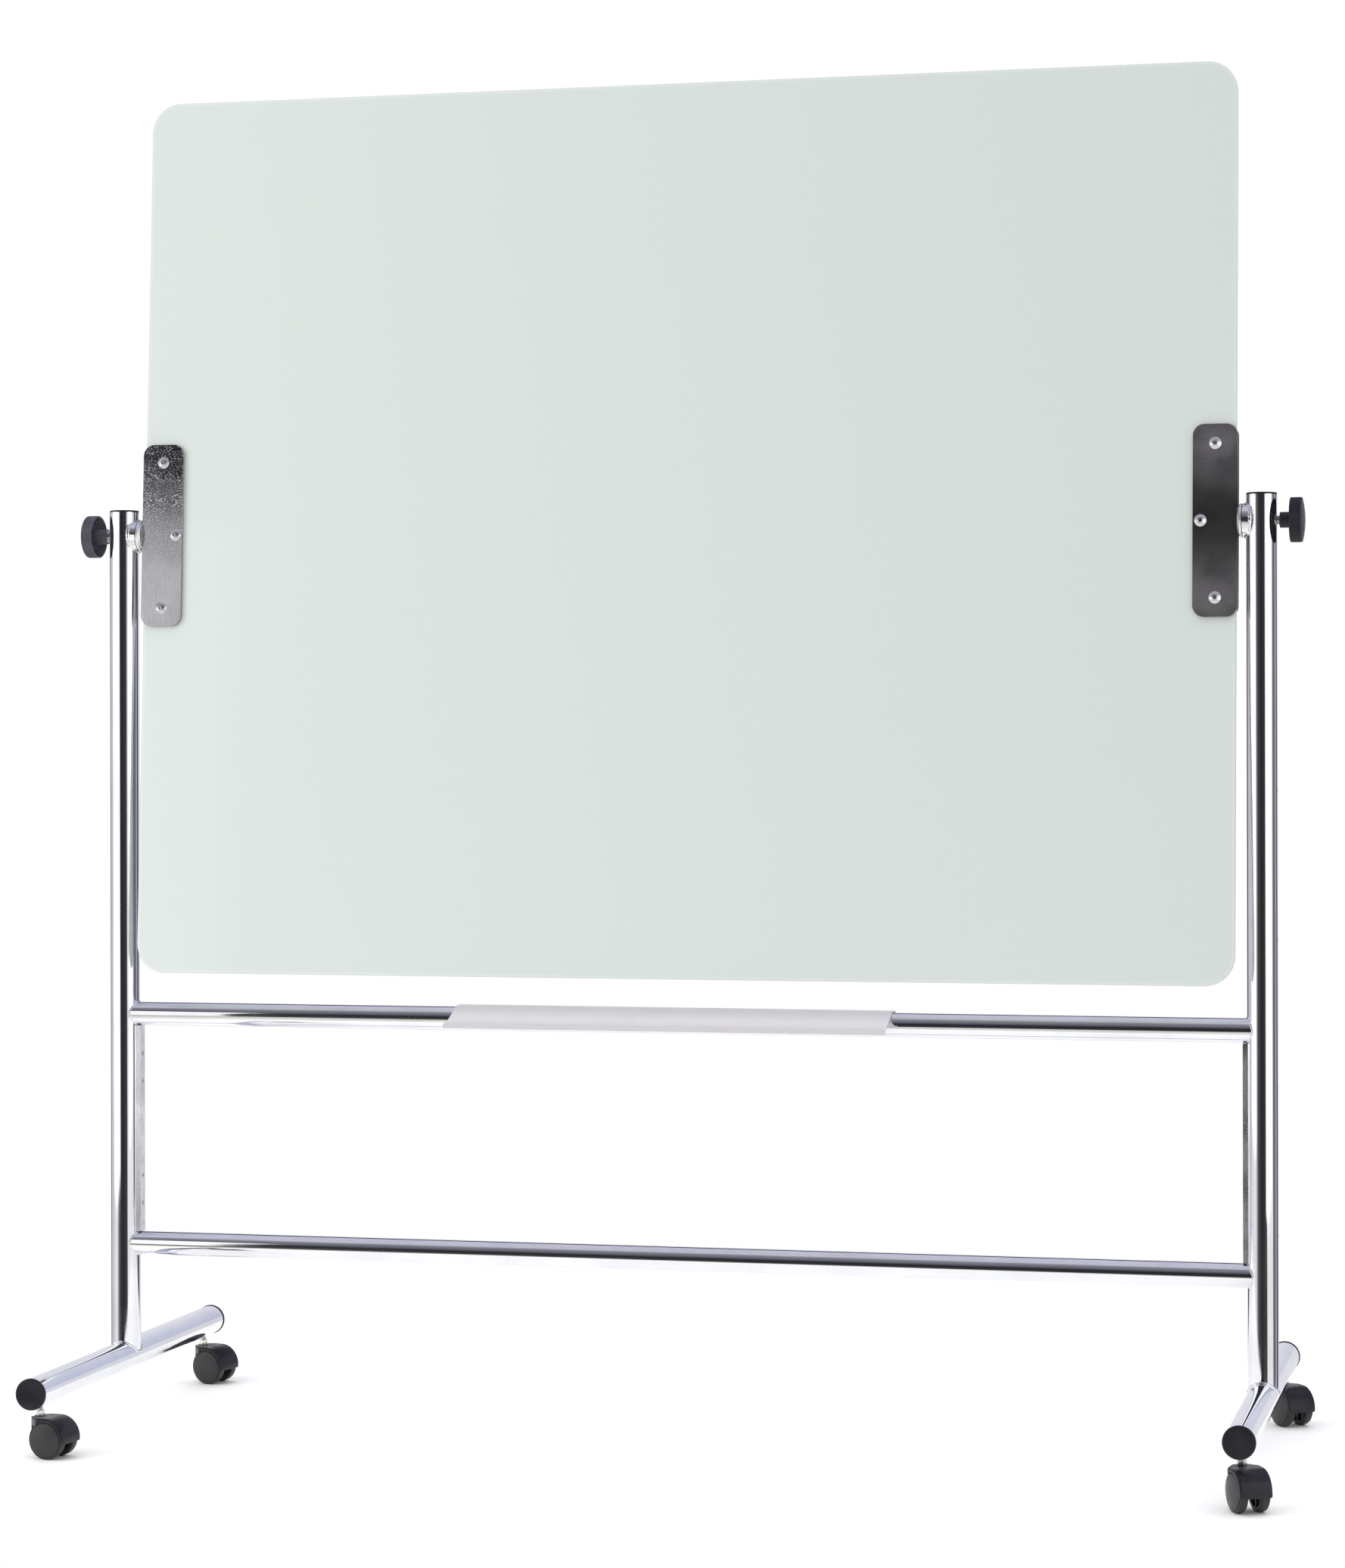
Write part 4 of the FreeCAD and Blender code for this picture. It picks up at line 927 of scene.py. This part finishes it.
def make_floor():
    """A pale floor patch that runs out into the white surroundings."""
    bm = bmesh.new()
    bmesh.ops.create_circle(bm, cap_ends=True, segments=96, radius=1)
    bmesh.ops.scale(bm, vec=(*FLOOR_REACH, 1), verts=bm.verts)
    mesh = bpy.data.meshes.new("studio_floor")
    bm.to_mesh(mesh)
    bm.free()
    floor = bpy.data.objects.new("studio_floor", mesh)
    bpy.context.scene.collection.objects.link(floor)
    shade = Shade("floor_paint", (0.93, 0.93, 0.92), roughness=0.7)
    grain = shade.noise(120, detail=4)
    shade.roughness(shade.ramp(grain, 0.6, 0.8, 0.3, 0.7))
    shade.bump(grain, 0.03, 0.0005)
    mesh.materials.append(shade.material)


def area_light(name, position, target, width, height, power, glossy=True):
    data = bpy.data.lights.new(name, "AREA")
    data.shape = "RECTANGLE"
    data.size, data.size_y = width, height
    data.energy = power
    light = bpy.data.objects.new(name, data)
    bpy.context.scene.collection.objects.link(light)
    light.location = position
    aim = Vector(target) - Vector(position)
    light.rotation_euler = aim.to_track_quat("-Z", "Y").to_euler()
    light.visible_camera = False
    light.visible_glossy = glossy
    return light


def make_lights():
    """Two soft boxes flank the camera; a fill from the left shows in no reflection."""
    left = area_light("left_soft_box", (-2.55, -1.55, 0.84), (-0.2, 0.3, 0.84), 2.83, 1.66, 17)
    left.visible_diffuse = False
    right = area_light("right_soft_box", (2.85, -1.4, 1.32), (0.9, 0.9, 1.32), 2.4, 2.64, 22)
    right.visible_diffuse = False
    area_light("left_fill", (-3.4, -2.4, 1.6), (0.3, 0, 1.0), 2.0, 2.0, 55, glossy=False)


# What upright chrome mirrors, by heading in degrees: 0 is ahead of the board, 90 its right.
# The two dark bands past 127 degrees are only there for the views from behind.
LEVEL_BAND = ((-180, (0.84, 0.83, 0.88)), (-152, (0.80, 0.79, 0.85)), (-147, (0.07, 0.07, 0.08)),
              (-129, (0.06, 0.06, 0.07)), (-124, (0.60, 0.59, 0.67)), (-95, (0.66, 0.65, 0.70)),
              (-62, (0.95, 0.95, 0.95)), (-46, (0.80, 0.80, 0.82)), (-36, (0.22, 0.22, 0.23)),
              (-24, (0.062, 0.060, 0.062)), (0, (0.024, 0.022, 0.028)),
              (36, (0.060, 0.056, 0.060)), (40, (0.95, 0.95, 0.95)), (84, (0.95, 0.95, 0.95)),
              (92, (0.14, 0.135, 0.17)), (112, (0.18, 0.175, 0.22)), (119, (0.45, 0.44, 0.50)),
              (127, (0.45, 0.44, 0.50)), (131, (0.06, 0.06, 0.07)), (147, (0.07, 0.07, 0.08)),
              (152, (0.80, 0.79, 0.85)), (180, (0.84, 0.83, 0.88)))


def make_world():
    """White to the camera; to reflections, a dark room ahead and pale lilac above and behind,
    with dark bands at the rear that give the tubes contrast from there."""
    world = bpy.data.worlds.new("studio")
    bpy.context.scene.world = world
    world.use_nodes = True
    tree = world.node_tree
    tree.nodes.clear()

    def node(kind, **settings):
        item = tree.nodes.new(kind)
        for key, value in settings.items():
            setattr(item, key, value)
        return item

    def mix(amount, first, second):
        item = node("ShaderNodeMix", data_type="RGBA")
        for socket, part in zip((0, 6, 7), (amount, first, second)):
            if isinstance(part, bpy.types.NodeSocket):
                tree.links.new(part, item.inputs[socket])
            else:
                item.inputs[socket].default_value = (*part, 1)
        return item.outputs[2]

    def step(value, start, end):
        item = node("ShaderNodeMapRange", interpolation_type="SMOOTHSTEP")
        tree.links.new(value, item.inputs[0])
        item.inputs[1].default_value, item.inputs[2].default_value = start, end
        return item.outputs[0]

    def value(operation, first, second=0.0, third=0.0):
        item = node("ShaderNodeMath", operation=operation)
        for socket, part in zip(item.inputs, (first, second, third)):
            if isinstance(part, bpy.types.NodeSocket):
                tree.links.new(part, socket)
            else:
                socket.default_value = part
        return item.outputs[0]

    ways = node("ShaderNodeSeparateXYZ")
    tree.links.new(node("ShaderNodeTexCoord").outputs["Generated"], ways.inputs[0])
    along, back, up = ways.outputs
    heading = value("ARCTAN2", along, value("MULTIPLY", back, -1))
    room = mix(step(up, 0.10, 0.85), (0.016, 0.015, 0.024), (0.26, 0.26, 0.30))
    room = mix(step(up, 0.8, 1.0), room, (0.55, 0.55, 0.68))
    beside = mix(step(along, -0.3, 0.5), (0.82, 0.82, 0.89), (0.60, 0.63, 0.78))
    surround = mix(step(up, 0.3, 0.9), beside, (0.62, 0.62, 0.76))
    above = mix(step(back, -0.62, -0.30), room, surround)
    down = value("MULTIPLY", up, -1)
    rear_dark = value("MULTIPLY", step(up, 0.46, 0.52), step(down, -0.78, -0.70))
    rear_dark = value("MULTIPLY", rear_dark, step(back, 0.15, 0.40))
    above = mix(rear_dark, above, (0.05, 0.05, 0.06))
    level = node("ShaderNodeValToRGB")
    tree.links.new(value("MULTIPLY_ADD", heading, 0.5 / math.pi, 0.5), level.inputs[0])
    band = level.color_ramp.elements
    while len(band) < len(LEVEL_BAND):
        band.new(0.5)
    for stop, (degrees, color) in zip(band, LEVEL_BAND):
        stop.position = degrees / 360 + 0.5
        stop.color = (*color, 1)
    ground = mix(step(up, -0.65, -0.22), (0.98, 0.98, 0.97), (0.66, 0.65, 0.59))
    raised = value("MULTIPLY_ADD", step(back, -0.25, 0.25), 0.28, up)
    seen = mix(step(raised, -0.24, -0.19), ground, level.outputs[0])
    seen = mix(step(up, 0.06, 0.10), seen, above)
    sky = mix(value("MAXIMUM", up, 0.0), (0.10, 0.10, 0.105), (1.95, 1.95, 1.99))
    lit = mix(step(up, -0.02, 0.0), (0.93, 0.93, 0.92), sky)
    rays = node("ShaderNodeLightPath")
    light = mix(rays.outputs["Is Glossy Ray"], lit, seen)
    light = mix(rays.outputs["Is Camera Ray"], light, (1.0, 1.0, 1.0))
    background = node("ShaderNodeBackground")
    tree.links.new(light, background.inputs[0])
    output = node("ShaderNodeOutputWorld")
    tree.links.new(background.outputs[0], output.inputs[0])


CAMERA_PLACE = (1.2295, -4.7468, 0.9438)
CAMERA_HEADING = 12.53
CAMERA_ROLL = -0.12
CAMERA_LENS = 84.33
CAMERA_SHIFT = (-0.0823, -0.0336)


def make_camera():
    data = bpy.data.cameras.new("camera")
    data.lens = CAMERA_LENS
    data.sensor_width = 36
    data.shift_x, data.shift_y = CAMERA_SHIFT
    camera = bpy.data.objects.new("camera", data)
    bpy.context.scene.collection.objects.link(camera)
    camera.location = CAMERA_PLACE
    level = Matrix.Rotation(math.radians(CAMERA_HEADING), 4, "Z") @ \
        Matrix.Rotation(math.pi / 2, 4, "X")
    camera.rotation_euler = (level @ Matrix.Rotation(math.radians(CAMERA_ROLL), 4, "Z")).to_euler()
    bpy.context.scene.camera = camera


# ---------------------------------------------------------------- the whole scene

make_camera()
make_floor()
make_lights()
make_world()
finish_nodes()
for side in SIDES:
    make_knob(side)
    make_shaft(side)
for name in CASTORS:
    make_hood(name)
    for number in (1, 2):
        make_wheel(name, number)
make_stems()
make_bar_welds()
make_foot_welds()
make_collar_welds()
make_tray()
bpy.context.scene.view_settings.view_transform = "Standard"
